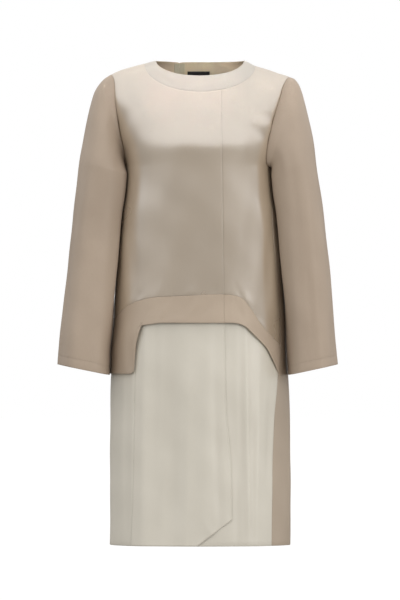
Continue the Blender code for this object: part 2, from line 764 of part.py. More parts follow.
def make_zip_tape(name, band, back, edge):
    """Tape inside the back seam, laid on the neckband's and the back's own points beside it."""
    next_column = -2 if edge else 1
    outer, inner = [], []
    for row in band[:-1] + back:
        near, far = row[edge], row[next_column]
        if near.y < band[0][edge].y - ZIP_LENGTH:
            break
        for grid, out in ((outer, -WALL - TAPE_GAP), (inner, -WALL - TAPE_GAP - TAPE_WALL)):
            start, end = form(near.x, near.y, out), form(far.x, far.y, out)
            share = TAPE_WIDTH / (end - start).length
            grid.append([start.lerp(end, share * t) for t in (0.0, 0.5, 1.0)])
    cloth(name, "zip_tape", pulled_in(outer), pulled_in(inner))


def make_skirt():
    seam_top = band_seam_z(SIDE_PANEL_SEAM[-1].x)
    seam = [place(on_line(SIDE_PANEL_SEAM, z), z) for z in skirt_levels(seam_top)]
    right = [right_seam(z) for z in skirt_levels(right_band_z())]
    left = [left_seam(z) for z in skirt_levels(left_band_z())]

    corner_x, corner_z = WRAP_EDGE[0].x, WRAP_EDGE[0].z
    wrap_top = band_seam_z(WRAP_EDGE[-1].x)
    wrap = [place(on_line(WRAP_EDGE, z), z) for z in skirt_levels(wrap_top, corner_z)]
    under = [place(UNDER_EDGE_X, z) for z in skirt_levels(band_seam_z(UNDER_EDGE_X))]

    def top(start, end, steps):
        """Along the band seam, evenly by angle."""
        line = [start.lerp(end, i / steps) for i in range(steps + 1)]
        return [start] + [Vector((p.x, band_seam_z(skin(p.x, p.y).x))) for p in line[1:-1]] + [end]

    def hem(start, end, steps):
        return [start.lerp(end, i / steps) for i in range(steps + 1)]

    side_steps, over_steps, under_steps = SKIRT_ACROSS.values()
    slant = [Vector((skin(seam[-1].x, HEM).x, HEM)), Vector(WRAP_CORNER), Vector((corner_x, corner_z))]
    over_hem = [place(p.x, p.y) for p in resampled(slant, over_steps)]
    over_hem[0], over_hem[-1] = seam[-1], wrap[-1]
    side = patch(top(right[0], seam[0], side_steps), hem(right[-1], seam[-1], side_steps), right, seam)
    over = patch(top(seam[0], wrap[0], over_steps), over_hem, seam, wrap)
    below = patch(top(under[0], left[0], under_steps), hem(under[-1], left[-1], under_steps), under, left)
    panel("skirt_side", "cream_satin", side, skirt_out)
    panel("skirt_front_over", "cream_satin", over, skirt_out)
    panel("skirt_front_under", "cream_satin", below, under_out)


# ---- Sleeves ------------------------------------------------------------------------------


def beside(sign, y, z):
    """x just clear of the body, at a depth y and a height z on one side of it."""
    angle = solve(lambda a: skin(sign * a, z).y - y * NEAREST, 0.0, 180.0)
    return form(sign * angle, z, overlay_out(sign * angle, z)).x + sign * SLEEVE_CLEAR


def sleeve_rings(side):
    """Rings of points from the armhole to the cuff, and the turn of each point round them."""
    hole = ARMHOLES[side]
    turns = spaced(0, 360, 2 * ARMHOLE_STEPS)[:-1]
    edge = [armhole(side, turn if turn <= 180 else turn - 360) for turn in turns]
    sewn = [form(p.x, p.y) for p in edge]
    tip, underarm = sewn[0], sewn[ARMHOLE_STEPS]

    def oval(outer, inner, half_depth, turn, z_share, lean):
        middle = (outer + inner) / 2
        swing = math.radians(turn)
        fold = SLEEVE_FOLD * smoothstep(z_share) * math.cos(SLEEVE_FOLDS * swing + SLEEVE_FOLD_TURN)
        point = middle + (outer - middle) * math.cos(swing)
        point.y -= half_depth * math.sin(swing)
        if 90 < turn < 180:
            point.x -= hole.sign * lean * math.sin(math.pi * ((turn - 90) / 90) ** 1.7) ** 2
        return point + (point - middle).normalized() * fold

    start = [oval(tip, underarm, hole.half_depth, turn, 0, 0) for turn in turns]
    rings = [sewn]
    for j, ring in enumerate(SLEEVE_RINGS, 1):
        fan = min(j / CAP_RINGS, 1.0)
        share = (UNDERARM - ring.inner_z) / (UNDERARM - SLEEVE_RINGS[-1].inner_z)
        middle_y = hole.sleeve_y + (hole.cuff_y - hole.sleeve_y) * smoothstep(share)
        outer_x = ring.right_x if side == "right" else ring.left_x
        outer = Vector((hole.sign * outer_x, tip.y + (middle_y - tip.y) * fan, ring.outer_z))
        inner_y = underarm.y + (middle_y - underarm.y) * fan
        inner = Vector((beside(hole.sign, inner_y, ring.inner_z), inner_y, ring.inner_z))
        keep = (1 - fan) ** 2
        lean = SLEEVE_LEAN * fan * (1 - smoothstep((share - 0.25) / 0.55))
        rings.append([
            oval(outer, inner, ring.half_depth, turn, share, lean) + (sewn[k] - start[k]) * keep
            for k, turn in enumerate(turns)
        ])
    return rings, [normal(p.x, p.y) for p in edge]


def make_sleeve(side):
    rings, body_normals = sleeve_rings(side)
    count = len(rings[0])
    outward = ARMHOLES[side].sign
    inner = []
    for j, ring in enumerate(rings):
        above, below = rings[max(j - 1, 0)], rings[min(j + 1, len(rings) - 1)]
        row = []
        for k, point in enumerate(ring):
            round_it = ring[(k + 1) % count] - ring[k - 1]
            down = below[k] - above[k]
            out = down.cross(round_it).normalized() * -outward
            if j == 0:
                out = (out + body_normals[k] * max(0.0, out.dot(body_normals[k]))).normalized()
            row.append(point - out * WALL)
        inner.append(row)
    return cloth(f"sleeve_{side}", "taupe_satin", pulled_in(rings, True), pulled_in(inner, True), True)


# ---- Label and zip ------------------------------------------------------------------------


def make_label():
    """Plain woven label inside the back of the neck."""
    columns, rows = LABEL_STEPS
    grid = [[place(x, z, back=True) for x in spaced(LABEL_X[1], LABEL_X[0], columns)]
            for z in spaced(LABEL_Z[0], LABEL_Z[1], rows)]
    panel("label", "label_cloth", grid, lambda angle, z: -WALL - LABEL_GAP, LABEL_WALL)


def zip_frame(out=0.0):
    """Frame on the back seam at the slider: x across the seam, y up it, z out of the cloth."""
    spot = place(BACK_SEAM_X, SLIDER_Z, back=True)
    outward = normal(spot.x, spot.y)
    over = Vector((0, 0, 1)).cross(outward).normalized()
    upward = outward.cross(over)
    turn = Matrix((over, upward, outward)).transposed().to_4x4()
    return Matrix.Translation(form(spot.x, spot.y, out)) @ turn


def framed(outer, inner, low, high, place_point):
    """A block with a rectangular hole right through it: (x0, x1, y0, y1) outside and inside."""
    def loop(box, level):
        x0, x1, y0, y1 = box
        return [place_point(x, y, level) for x, y in ((x0, y0), (x1, y0), (x1, y1), (x0, y1))]

    bm = bmesh.new()
    loops = [[bm.verts.new(p) for p in loop(box, level)]
             for box in (outer, inner) for level in (low, high)]
    out_low, out_high, in_low, in_high = loops
    for a in range(4):
        b = (a + 1) % 4
        for first in (out_low, in_high):
            for second in (out_high, in_low):
                bm.faces.new((first[a], first[b], second[b], second[a]))
    bmesh.ops.recalc_face_normals(bm, faces=bm.faces)
    return bm


def make_zip_slider():
    """The slider stands on the seam, with a bridge over the window that the pull hangs in."""
    length, window = SLIDER_LENGTH / 2, SLIDER_WINDOW / 2
    outer = (-length, length, SLIDER_FOOT, PIVOT_OUT + SLIDER_GAP + SLIDER_BRIDGE)
    inner = (-window, window, PIVOT_OUT - SLIDER_GAP, PIVOT_OUT + SLIDER_GAP)
    bm = framed(outer, inner, -SLIDER_WIDTH / 2, SLIDER_WIDTH / 2,
                lambda up, out, over: Vector((over, up, out)))
    made = finished("zip_slider", "zip_metal", bm)
    made.matrix_world = zip_frame()
    soften(made)


def make_zip_pull():
    """Flat pull: its top bar lies in the slider's window, and the bar's middle is the hinge."""
    half, hole = PULL_WIDTH / 2, PULL_HOLE_WIDTH / 2
    bar = PULL_BAR / 2
    hole_end = -bar - PULL_HOLE_LENGTH
    bm = framed((-half, half, hole_end - PULL_BAR, bar), (-hole, hole, hole_end, -bar),
                -PULL_WALL / 2, PULL_WALL / 2, lambda x, y, level: Vector((x, y, level)))
    end = [face for face in bm.faces if all(v.co.y < hole_end - bar for v in face.verts)]
    for share, narrowing in PULL_TAPER:
        grown = bmesh.ops.extrude_discrete_faces(bm, faces=end)["faces"]
        for vert in grown[0].verts:
            vert.co.y -= (PULL_LENGTH + hole_end - PULL_BAR) * share
            vert.co.x *= narrowing
        end = grown
    made = finished("zip_pull", "zip_metal", bm)
    made.matrix_world = zip_frame(PIVOT_OUT)
    soften(made)


def soften(made):
    """Small round on every edge of a metal piece."""
    bevel = made.modifiers.new("Edges", "BEVEL")
    bevel.width = METAL_BEVEL
    bevel.segments = 1


# ---- Materials and the whole garment ------------------------------------------------------


def make_materials():
    for name, colour in COLOURS.items():
        material = bpy.data.materials.new(name)
        material.use_nodes = True
        shader = material.node_tree.nodes["Principled BSDF"]
        shader.inputs["Base Color"].default_value = (*colour, 1)
        shader.inputs["Roughness"].default_value = 0.30 if name == "zip_metal" else 0.42
        shader.inputs["Metallic"].default_value = 1.0 if name == "zip_metal" else 0.0
        material.diffuse_color = (*colour, 1)


def clear_scene():
    for found in list(bpy.data.objects):
        bpy.data.objects.remove(found)


def build():
    clear_scene()
    make_materials()
    make_bodice()
    make_hem_bands()
    make_back_and_neck()
    make_skirt()
    for side in ARMHOLES:
        make_sleeve(side)
    make_label()
    make_zip_slider()
    make_zip_pull()


build()
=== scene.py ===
import math

import bpy
import numpy as np
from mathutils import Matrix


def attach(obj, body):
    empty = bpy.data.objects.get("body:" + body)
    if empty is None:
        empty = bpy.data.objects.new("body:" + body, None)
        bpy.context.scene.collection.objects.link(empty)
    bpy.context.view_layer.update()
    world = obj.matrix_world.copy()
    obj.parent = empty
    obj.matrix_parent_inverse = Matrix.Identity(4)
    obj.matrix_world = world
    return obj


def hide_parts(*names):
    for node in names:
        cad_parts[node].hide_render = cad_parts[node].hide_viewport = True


# Satin tunic top, open and filled out as worn. Metres, front towards -Y, the wearer's left at +X.
# Every panel lies on one worn form. A place on it is an angle round it (0 is the middle of the
# front, 90 the wearer's left, 180 the middle of the back) and a height.

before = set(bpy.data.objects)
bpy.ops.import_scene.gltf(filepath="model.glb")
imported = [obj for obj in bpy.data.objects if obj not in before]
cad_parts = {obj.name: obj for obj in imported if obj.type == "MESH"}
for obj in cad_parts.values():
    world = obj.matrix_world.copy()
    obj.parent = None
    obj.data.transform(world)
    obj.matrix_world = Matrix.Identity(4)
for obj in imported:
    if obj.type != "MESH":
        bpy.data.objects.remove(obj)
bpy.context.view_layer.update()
print("frame loaded")

cut = {
    "neckHalf": 0.0925, "neckDropFront": 0.034, "neckDropBack": 0.001,
    "bandHalf": 0.117, "bandDropFront": 0.068, "bandDropBack": 0.033, "neckLift": 0.019,
    "shoulderRound": 0.24, "shoulderPower": 0.46, "tipHalf": 0.188, "square": 0.023,
    "underarm": -0.225, "frontSeam": (0.044, 0.050), "backSeam": -0.044,
    "tail": -0.660, "hem": -1.0206, "underEdge": -0.040, "rightSeamAngle": (-92.0, -98.0),
    "zipNotch": 0.0012, "zipNotchWidth": 0.0035,  # the back neck edge dips at the zip
}

cloth = {
    "wall": 0.0011,
    "seamDip": 0.0003, "seamWidth": 0.0014,  # the groove where two panels are sewn together
    "edgeRound": 0.0004,  # how far the faces draw together at a free edge
    "turnUp": 0.020, "turnUpWall": 0.0007,  # depth of a turned hem, and what it adds inside
    "drift": 0.0005,  # slow unevenness of every panel
    "valleyShade": 0.55,  # painted shade: how much darker the bottom of a crease is painted
    "bowReach": 0.6, "bowFades": (3, 40),  # how quickly the bow of a side edge dies away
    "levelTop": 0.6,  # share of the top edge's spacing in the row level with the underarm
}

# z, half width right, half width left, depth front, depth back
sections = np.array((
    (-1.021, 0.190, 0.190, 0.122, 0.122),
    (-0.750, 0.189, 0.190, 0.120, 0.118),
    (-0.660, 0.188, 0.186, 0.120, 0.114),
    (-0.505, 0.181, 0.179, 0.121, 0.106),
    (-0.380, 0.173, 0.171, 0.124, 0.102),
    (-0.327, 0.168, 0.166, 0.126, 0.103),
    (-0.274, 0.160, 0.158, 0.127, 0.105),
    (-0.225, 0.157, 0.155, 0.127, 0.107),
    (-0.192, 0.163, 0.163, 0.127, 0.108),
    (-0.154, 0.176, 0.175, 0.126, 0.109),
    (-0.110, 0.188, 0.187, 0.125, 0.110),
    (-0.070, 0.195, 0.195, 0.124, 0.112),
    (0.000, 0.196, 0.196, 0.124, 0.114),
))

# x outwards, height of the shoulder line on the right and on the left; inside the neck opening
# the form goes on rising, so that it has no kink there
shoulders = np.array((
    (-0.0925, 0.0000, 0.0000),
    (0.000, 0.0160, 0.0160),
    (0.0925, 0.0000, 0.0000),
    (0.117, -0.0066, -0.0107),
    (0.140, -0.0125, -0.0183),
    (0.165, -0.0195, -0.0270),
    (0.188, -0.0295, -0.0345),
    (0.205, -0.0390, -0.0460),
))

# angle, width, height, where it starts and where it is deepest
longFolds = (
    (-36, 15, 0.0022, -0.52, -1.0206), (-16, 14, -0.0022, -0.50, -1.0206),
    (6, 13, 0.0018, -0.52, -1.0206), (35, 10, 0.0020, -0.56, -1.0206),
    (50, 9, -0.0028, -0.60, -1.0206), (-62, 12, -0.0018, -0.24, -0.660),
    (58, 10, -0.0018, -0.24, -0.660), (80, 8, 0.0025, -0.62, -1.0206),
    (112, 14, -0.0045, -0.36, -1.0206), (140, 15, 0.0045, -0.30, -1.0206),
    (166, 14, -0.0040, -0.34, -1.0206), (196, 14, 0.0040, -0.30, -1.0206),
    (224, 15, -0.0045, -0.34, -1.0206), (250, 12, 0.0035, -0.40, -1.0206),
)

armholes = {
    "right": {"sign": -1, "halfDepth": 0.045, "lowY": 0.005, "sleeveY": -0.020, "cuffY": -0.042},
    "left": {"sign": 1, "halfDepth": 0.040, "lowY": -0.050, "sleeveY": -0.036, "cuffY": -0.045},
}

leftSeamLine = np.array((  # z, x
    (-1.0206, 0.153), (-0.862, 0.154), (-0.757, 0.1575), (-0.660, 0.166),
    (-0.600, 0.170), (-0.484, 0.164), (-0.379, 0.155), (-0.274, 0.149),
))
bandSeamLine = np.array((  # x, z
    (-0.181, -0.543), (-0.151, -0.516), (-0.126, -0.506), (-0.095, -0.499), (-0.020, -0.4955),
    (0.050, -0.493), (0.084, -0.499), (0.107, -0.524), (0.130, -0.5575), (0.170, -0.600),
))
sidePanelLine = np.array(((-1.021, -0.145), (-0.840, -0.1386), (-0.500, -0.135)))  # z, x
wrapLine = np.array(((-0.965, 0.067), (-0.860, 0.065), (-0.710, 0.0535), (-0.480, 0.051)))  # z, x

steps = {
    "armhole": 44, "side": 30, "skirt": 34, "shoulder": 16, "band": 14, "neckRows": 12,
    "neck": {"frontMain": 60, "frontSide": 32, "backMain": 44, "backSide": 22},
    "skirtAcross": {"side": 26, "over": 80, "under": 70},
}


def along(line, x, column=1):
    xs, ys = line[:, 0], line[:, column]
    x = np.clip(np.asarray(x, float), xs[0], xs[-1])
    step, slope = np.diff(xs), np.diff(ys) / np.diff(xs)
    turn = slope[:-1] * slope[1:]
    joined = np.where(turn > 0, slope[:-1] + slope[1:], 1.0)
    tangent = np.concatenate([slope[:1], np.where(turn > 0, 2 * turn / joined, 0.0), slope[-1:]])
    i = np.clip(np.searchsorted(xs, x, side="right") - 1, 0, len(step) - 1)
    t = (x - xs[i]) / step[i]
    start = ys[i] * (1 + 2 * t) * (1 - t) ** 2 + tangent[i] * step[i] * t * (1 - t) ** 2
    return start + ys[i + 1] * (3 - 2 * t) * t**2 - tangent[i + 1] * step[i] * (1 - t) * t**2


def smooth(x):
    x = np.clip(x, 0, 1)
    return x * x * (3 - 2 * x)


def solve(rising, low, high, shape):
    low, high = np.full(shape, float(low)), np.full(shape, float(high))
    for _ in range(36):
        middle = (low + high) / 2
        under = rising(middle) < 0
        low, high = np.where(under, middle, low), np.where(under, high, middle)
    return (low + high) / 2


def across(angle):
    turn = np.radians(angle)
    return (np.sin(turn) + cut["square"] * np.sin(3 * turn)) / (1 - cut["square"])


def forward(angle):
    turn = np.radians(angle)
    return (np.cos(turn) - cut["square"] * np.cos(3 * turn)) / (1 - cut["square"])


def sidewise(line, x, value):
    return np.where(value > 0, along(line, x, 2), along(line, x, 1))


def shoulderZ(x):
    return sidewise(shoulders, np.abs(x), x)


def halfWidth(z, side):
    return sidewise(sections, z, side)


def skin(angle, z):
    angle, z = np.broadcast_arrays(np.asarray(angle, float), np.asarray(z, float))
    x = halfWidth(z, across(angle)) * across(angle)
    back = forward(angle) <= 0
    lift = cut["neckLift"] * np.maximum(0, 1 - (x / cut["neckHalf"]) ** 2) ** 1.5 * back
    below = np.clip((shoulderZ(x) + lift - z) / cut["shoulderRound"], 0, 1)
    deepest = np.where(back, along(sections, z, 4), along(sections, z, 3))
    depth = deepest * (1 - (1 - below) ** 2) ** cut["shoulderPower"]
    return np.stack([x, -depth * forward(angle), z], -1)


def unit(v):
    return v / np.maximum(np.linalg.norm(v, axis=-1, keepdims=True), 1e-12)


def outward(angle, z):
    direction = unit(np.cross(skin(angle + 0.3, z) - skin(angle - 0.3, z),
                              skin(angle, z + 0.0005) - skin(angle, z - 0.0005)))
    x = skin(angle, z)[..., 0]
    slope = (shoulderZ(x + 0.001) - shoulderZ(x - 0.001)) / 0.002
    ridge = unit(np.stack([-slope, 0 * slope, 1 + 0 * slope], -1))
    onRidge = (np.abs(shoulderZ(x) - z) < 1e-6) & (np.abs(x) >= cut["neckHalf"] - 1e-6)
    return np.where(onRidge[..., None], ridge, direction)


def foldHeight(angle, z):
    height = 0 * z
    for middle, width, deep, top, bottom in longFolds:
        away = (angle - middle + 180) % 360 - 180
        height = height + deep * smooth((top - z) / (top - bottom)) * np.exp(-((away / width) ** 2))
    return height


def worn(angle, z, out=0.0):
    angle, z = np.broadcast_arrays(np.asarray(angle, float), np.asarray(z, float))
    return skin(angle, z) + outward(angle, z) * (out + foldHeight(angle, z))[..., None]


def angleAt(x, z, back=False):
    x, z = np.broadcast_arrays(np.asarray(x, float), np.asarray(z, float))
    share = np.minimum(np.abs(x) / halfWidth(z, x), 1.0)
    angle = solve(lambda a: across(a) - share, 0, 90, x.shape)
    if back:
        return np.where(x > 0, 180 - angle, 180 + angle)
    return np.where(x > 0, angle, -angle)


def place(x, z, back=False):
    x, z = np.broadcast_arrays(np.asarray(x, float), np.asarray(z, float))
    return np.stack([angleAt(x, z, back), z], -1)


# Seam lines, each an array of places.


def armhole(side, turns):
    hole, turns = armholes[side], np.asarray(turns, float)
    tip = shoulderZ(np.array(hole["sign"] * cut["tipHalf"]))
    lowered = (1 - np.cos(np.radians(turns))) / 2
    z = tip + (cut["underarm"] - tip) * lowered
    y = hole["lowY"] * lowered - hole["halfDepth"] * np.sin(np.radians(turns))
    angle = hole["sign"] * solve(lambda a: skin(hole["sign"] * a, z)[..., 1] - y, 0, 180, z.shape)
    tipAngle = angleAt(hole["sign"] * cut["tipHalf"], tip)
    return np.stack([np.where(lowered < 1e-9, tipAngle, angle), z], -1)


def leftSeam(z):
    top = armhole("left", [180.0])[0, 0]
    blend = smooth((cut["underarm"] - z) / (cut["underarm"] - leftSeamLine[-1, 0]))
    return np.stack([top + (angleAt(along(leftSeamLine, z), z) - top) * blend, z], -1)


def rightSeam(z):
    top, bottom = cut["rightSeamAngle"]
    start = armhole("right", [180.0])[0, 0]
    angle = top + (bottom - top) * (cut["underarm"] - z) / (cut["underarm"] - cut["hem"])
    return np.stack([start + (angle - start) * smooth((cut["underarm"] - z) / 0.05), z], -1)


def bandZ(x):
    return along(bandSeamLine, x)


leftBandZ, rightBandZ = bandSeamLine[-1, 1], bandSeamLine[0, 1]


def skirtLevels(top, bottom=cut["hem"]):
    upper = np.linspace(top, cut["tail"], steps["band"] + 1)
    return np.concatenate([upper, np.linspace(cut["tail"], bottom, steps["skirt"] + 1)[1:]])


def sideLevels(bottom):
    return np.linspace(cut["underarm"], bottom, steps["side"] + 1)[1:]


def neckLine(half, drop, startX, endX, count, back=False):
    turns = np.linspace(math.asin(startX / half), math.asin(endX / half), count + 1)
    x = half * np.sin(turns)
    end = shoulderZ(np.copysign(half, x)) if half > cut["neckHalf"] else 0.0 * x
    return place(x, end - (drop + end) * np.cos(turns), back)


def neckEdge(startX, endX, count, back=False):
    drop = cut["neckDropBack"] if back else cut["neckDropFront"]
    line = neckLine(cut["neckHalf"], drop, startX, endX, count, back)
    if back:
        beside = skin(line[:, 0], line[:, 1])[:, 0] - cut["backSeam"]
        line[:, 1] -= cut["zipNotch"] * np.exp(-((beside / cut["zipNotchWidth"]) ** 2))
    return line


def neckSeam(startX, endX, count, back=False):
    drop = cut["bandDropBack"] if back else cut["bandDropFront"]
    return neckLine(cut["bandHalf"], drop, startX, endX, count, back)


def shoulderEdge(startX, endX, count=steps["shoulder"], back=False):
    x = np.linspace(startX, endX, count + 1)
    return place(x, shoulderZ(x), back)


def joined(*lines):
    return np.concatenate([line[:-1] for line in lines[:-1]] + [lines[-1]])


def rounded(start, corners, end):
    points = [np.array(start)] + [np.array(c[:2]) for c in corners] + [np.array(end)]
    path = [points[0]]
    for i, (_, _, radius) in enumerate(corners, 1):
        into, away = unit(points[i] - points[i - 1]), unit(points[i + 1] - points[i])
        reach = radius * math.tan(math.acos(float(np.clip(into @ away, -1, 1))) / 2)
        for t in np.linspace(0, 1, 25):
            path.append((points[i] - into * reach) * (1 - t) ** 2 + points[i] * 2 * t * (1 - t)
                        + (points[i] + away * reach) * t**2)
    return resampled(np.array(path + [points[-1]]), 600)


def resampled(path, count):
    lengths = np.concatenate([[0], np.cumsum(np.linalg.norm(np.diff(path, axis=0), axis=1))])
    want = np.linspace(0, lengths[-1], count + 1)
    return np.stack([np.interp(want, lengths, path[:, k]) for k in range(path.shape[1])], -1)


# A grid of places between four edges: rows run down, columns run round the form.
def patch(top, bottom, right, left):
    def share(edge, axis):
        return (edge[:, axis] - edge[0, axis]) / (edge[-1, axis] - edge[0, axis])

    def bow(edge):
        return edge - (edge[0] + (edge[-1] - edge[0]) * share(edge, 1)[:, None])

    rightShare, leftShare = share(right, 1)[:, None], share(left, 1)[:, None]
    middle = (rightShare + leftShare) / 2
    u = share(top, 0)[None] + (share(bottom, 0) - share(top, 0))[None] * middle
    v = (rightShare + (leftShare - rightShare) * u)[..., None]
    rightBow, leftBow = bow(right), bow(left)
    wide = abs(top[-1, 0] - top[0, 0])

    def fade(line):  # a slight bow stays close to its edge, a deep one reaches further in
        return np.clip(cloth["bowReach"] * wide / np.maximum(np.abs(line[:, :1]), 1e-3), *cloth["bowFades"])

    bent = rightBow[:, None] * ((1 - u) ** fade(rightBow))[..., None]
    bent = bent + leftBow[:, None] * (u ** fade(leftBow))[..., None]
    return top[None] * (1 - v) + bottom[None] * v + bent


# The same for a panel that reaches past the underarm, with one row level with it.
def bodyPatch(top, bottom, right, left):
    at = steps["armhole"]
    evenly = [(line[:, 0] - line[0, 0]) / (line[-1, 0] - line[0, 0]) for line in (top, bottom)]
    share = cloth["levelTop"] * evenly[0] + (1 - cloth["levelTop"]) * evenly[1]
    turn = right[at, 0] + (left[at, 0] - right[at, 0]) * share
    level = np.stack([turn, 0 * share + cut["underarm"]], -1)
    upper = patch(top, level, right[: at + 1], left[: at + 1])
    return np.concatenate([upper[:-1], patch(level, bottom, right[at:], left[at:])])


# Extra rows and columns close to the edges, at the distances given, for grooves and stitching.
def tightened(grid, edges):
    points = skin(grid[..., 0], grid[..., 1])
    for axis, (first, last) in enumerate((("top", "bottom"), ("right", "left"))):
        step = np.linalg.norm(np.diff(points, axis=axis), axis=-1).mean(axis=1 - axis)
        ruler = np.concatenate([[0], np.cumsum(step)])
        index = np.arange(len(ruler), dtype=float)
        wanted = [np.interp(edges[first], ruler, index),
                  np.interp(ruler[-1] - np.array(edges[last]), ruler, index)]
        at = np.unique(np.round(np.concatenate([index] + wanted), 3))
        at = at[np.concatenate([[True], np.diff(at) > 0.06])]
        at[-1] = index[-1]
        low = np.minimum(at.astype(int), len(ruler) - 2)
        share = (at - low).reshape([-1, 1, 1] if axis == 0 else [1, -1, 1])
        grid = np.take(grid, low, axis) * (1 - share) + np.take(grid, low + 1, axis) * share
        points = np.take(points, low, axis) * (1 - share) + np.take(points, low + 1, axis) * share
    return grid


def edgeDistances(points):
    def running(axis):
        step = np.linalg.norm(np.diff(points, axis=axis), axis=-1)
        first = np.zeros_like(np.take(step, [0], axis))
        total = np.concatenate([first, np.cumsum(step, axis)], axis)
        return total, np.take(total, [-1], axis) - total

    (top, bottom), (right, left) = running(0), running(1)
    return {"top": top, "bottom": bottom, "right": right, "left": left}


def gridNormals(points, tube=False):
    down = np.gradient(points, axis=0)
    if tube:
        around = (np.roll(points, -1, 1) - np.roll(points, 1, 1)) / 2
    else:
        around = np.gradient(points, axis=1)
    return unit(np.cross(down, around))


# Small puckers along a seam, uneven in size.
def puckers(s, seed):
    size = np.sin(s / 0.0112 * 6.283 + seed) + 0.8 * np.sin(s / 0.0173 * 6.283 + 2.1 * seed)
    size = size + 0.7 * np.sin(s / 0.0290 * 6.283 + 3.7 * seed)
    gate = 0.5 + 0.5 * np.sin(s / 0.126 * 6.283 + 1.3 * seed) * np.sin(s / 0.071 * 6.283 + seed)
    return size / 2.5 * gate


# Listed creases: x, z, tilt from upright, length, width, height and bend.
def creaseHeight(points, creases):
    height = np.zeros(points.shape[:-1])
    for x, z, tilt, length, width, deep, bend in creases:
        c, s = math.cos(math.radians(tilt)), math.sin(math.radians(tilt))
        dx, dz = points[..., 0] - x, points[..., 2] - z
        ahead = dx * s + dz * c
        off = dx * c - dz * s - bend * (ahead / length) ** 2
        height += deep * np.exp(-((off / width) ** 2) - (ahead / length) ** 2)
    return height


def driftHeight(points):
    x, y, z = points[..., 0], points[..., 1], points[..., 2]
    wave = np.sin(61 * x + 23 * z + 1) * np.sin(37 * z + 41 * y) + 0.6 * np.sin(97 * x - 31 * z + 50 * y)
    return cloth["drift"] * wave


def addMesh(name, points, faces, materials, slots=None, shade=None):
    mesh = bpy.data.meshes.new(name)
    mesh.from_pydata(points.tolist(), [], faces.tolist())
    for material in materials:
        mesh.materials.append(material)
    if slots is not None:
        mesh.polygons.foreach_set("material_index", slots.astype(np.int32))
    # shade is painted shade for grooves, stitch lines and crease valleys, kept per point for the material
    if shade is not None:
        layer = mesh.attributes.new("paintedGrooveShade", "FLOAT", "POINT")
        layer.data.foreach_set("value", shade.astype(np.float32).ravel())
    mesh.shade_smooth()
    piece = bpy.data.objects.new(name, mesh)
    bpy.context.collection.objects.link(piece)
    return piece


def quadGrid(rows, columns, tube=False):
    index = np.arange(rows * columns).reshape(rows, columns)
    if tube:
        index = np.hstack([index, index[:, :1]])
    quads = np.stack([index[:-1, :-1], index[1:, :-1], index[1:, 1:], index[:-1, 1:]], -1)
    return index, quads.reshape(-1, 4)


# One closed shell of cloth between an outer and an inner grid of points.
def addShell(name, outer, inner, face, reverse, shade, tube=False):
    rows, columns = outer.shape[:2]
    index, quads = quadGrid(rows, columns, tube)
    under = index + rows * columns
    lining = quads[:, ::-1] + rows * columns

    def rim(a, b, c, d):
        return np.stack([a, b, c, d], -1)

    rims = [rim(index[0, :-1], index[0, 1:], under[0, 1:], under[0, :-1]),
            rim(index[-1, 1:], index[-1, :-1], under[-1, :-1], under[-1, 1:])]
    if not tube:
        rims += [rim(index[1:, 0], index[:-1, 0], under[:-1, 0], under[1:, 0]),
                 rim(index[:-1, -1], index[1:, -1], under[1:, -1], under[:-1, -1])]
    rims = np.concatenate(rims)
    faces = np.concatenate([quads, lining, rims])
    slots = np.concatenate([np.zeros(len(quads)), np.ones(len(lining)), np.zeros(len(rims))])
    points = np.concatenate([outer.reshape(-1, 3), inner.reshape(-1, 3)])
    corners = points[faces[:, :3]]
    if np.einsum("ij,ij->i", corners[:, 0], np.cross(corners[:, 1], corners[:, 2])).sum() < 0:
        faces = faces[:, ::-1]
    # the inside face gets the painted shade at 0.6 of its strength
    both = np.concatenate([shade.ravel(), 0.6 * shade.ravel()])
    return addMesh(name, points, faces, (face, reverse), slots, both)


# What each kind of edge does to the cloth beside it.
edgeKinds = {
    "seam": {"at": (0.0, 0.0007, 0.0016, 0.0032), "pucker": 0.00022, "reach": 0.007},
    "shoulder": {"at": (0.0, 0.0009, 0.0022), "pucker": 0.0, "reach": 0.007},
    "puckeredSeam": {"at": (0.0, 0.0007, 0.0016, 0.0032), "pucker": 0.00060, "reach": 0.010},
    "armhole": {"at": (0.0, 0.0007, 0.0016, 0.0032), "pucker": 0.00035, "reach": 0.010},
    "blindHem": {"at": (0.0, 0.0005, 0.0014, 0.0190, 0.0204), "pucker": 0.00012, "reach": 0.012},
    "hem": {"at": (0.0, 0.0005, 0.0014, 0.0180, 0.0193, 0.0206), "pucker": 0.00035, "reach": 0.009},
    "narrowHem": {"at": (0.0, 0.0005, 0.0014, 0.0032), "pucker": 0.0003, "reach": 0.008},
    "edge": {"at": (0.0, 0.0005, 0.0014), "pucker": 0.0, "reach": 0.008},
    "fold": {"at": (0.0, 0.0005, 0.0014, 0.0032), "pucker": 0.0, "reach": 0.008},
}
sewn = ("seam", "puckeredSeam", "armhole", "shoulder")
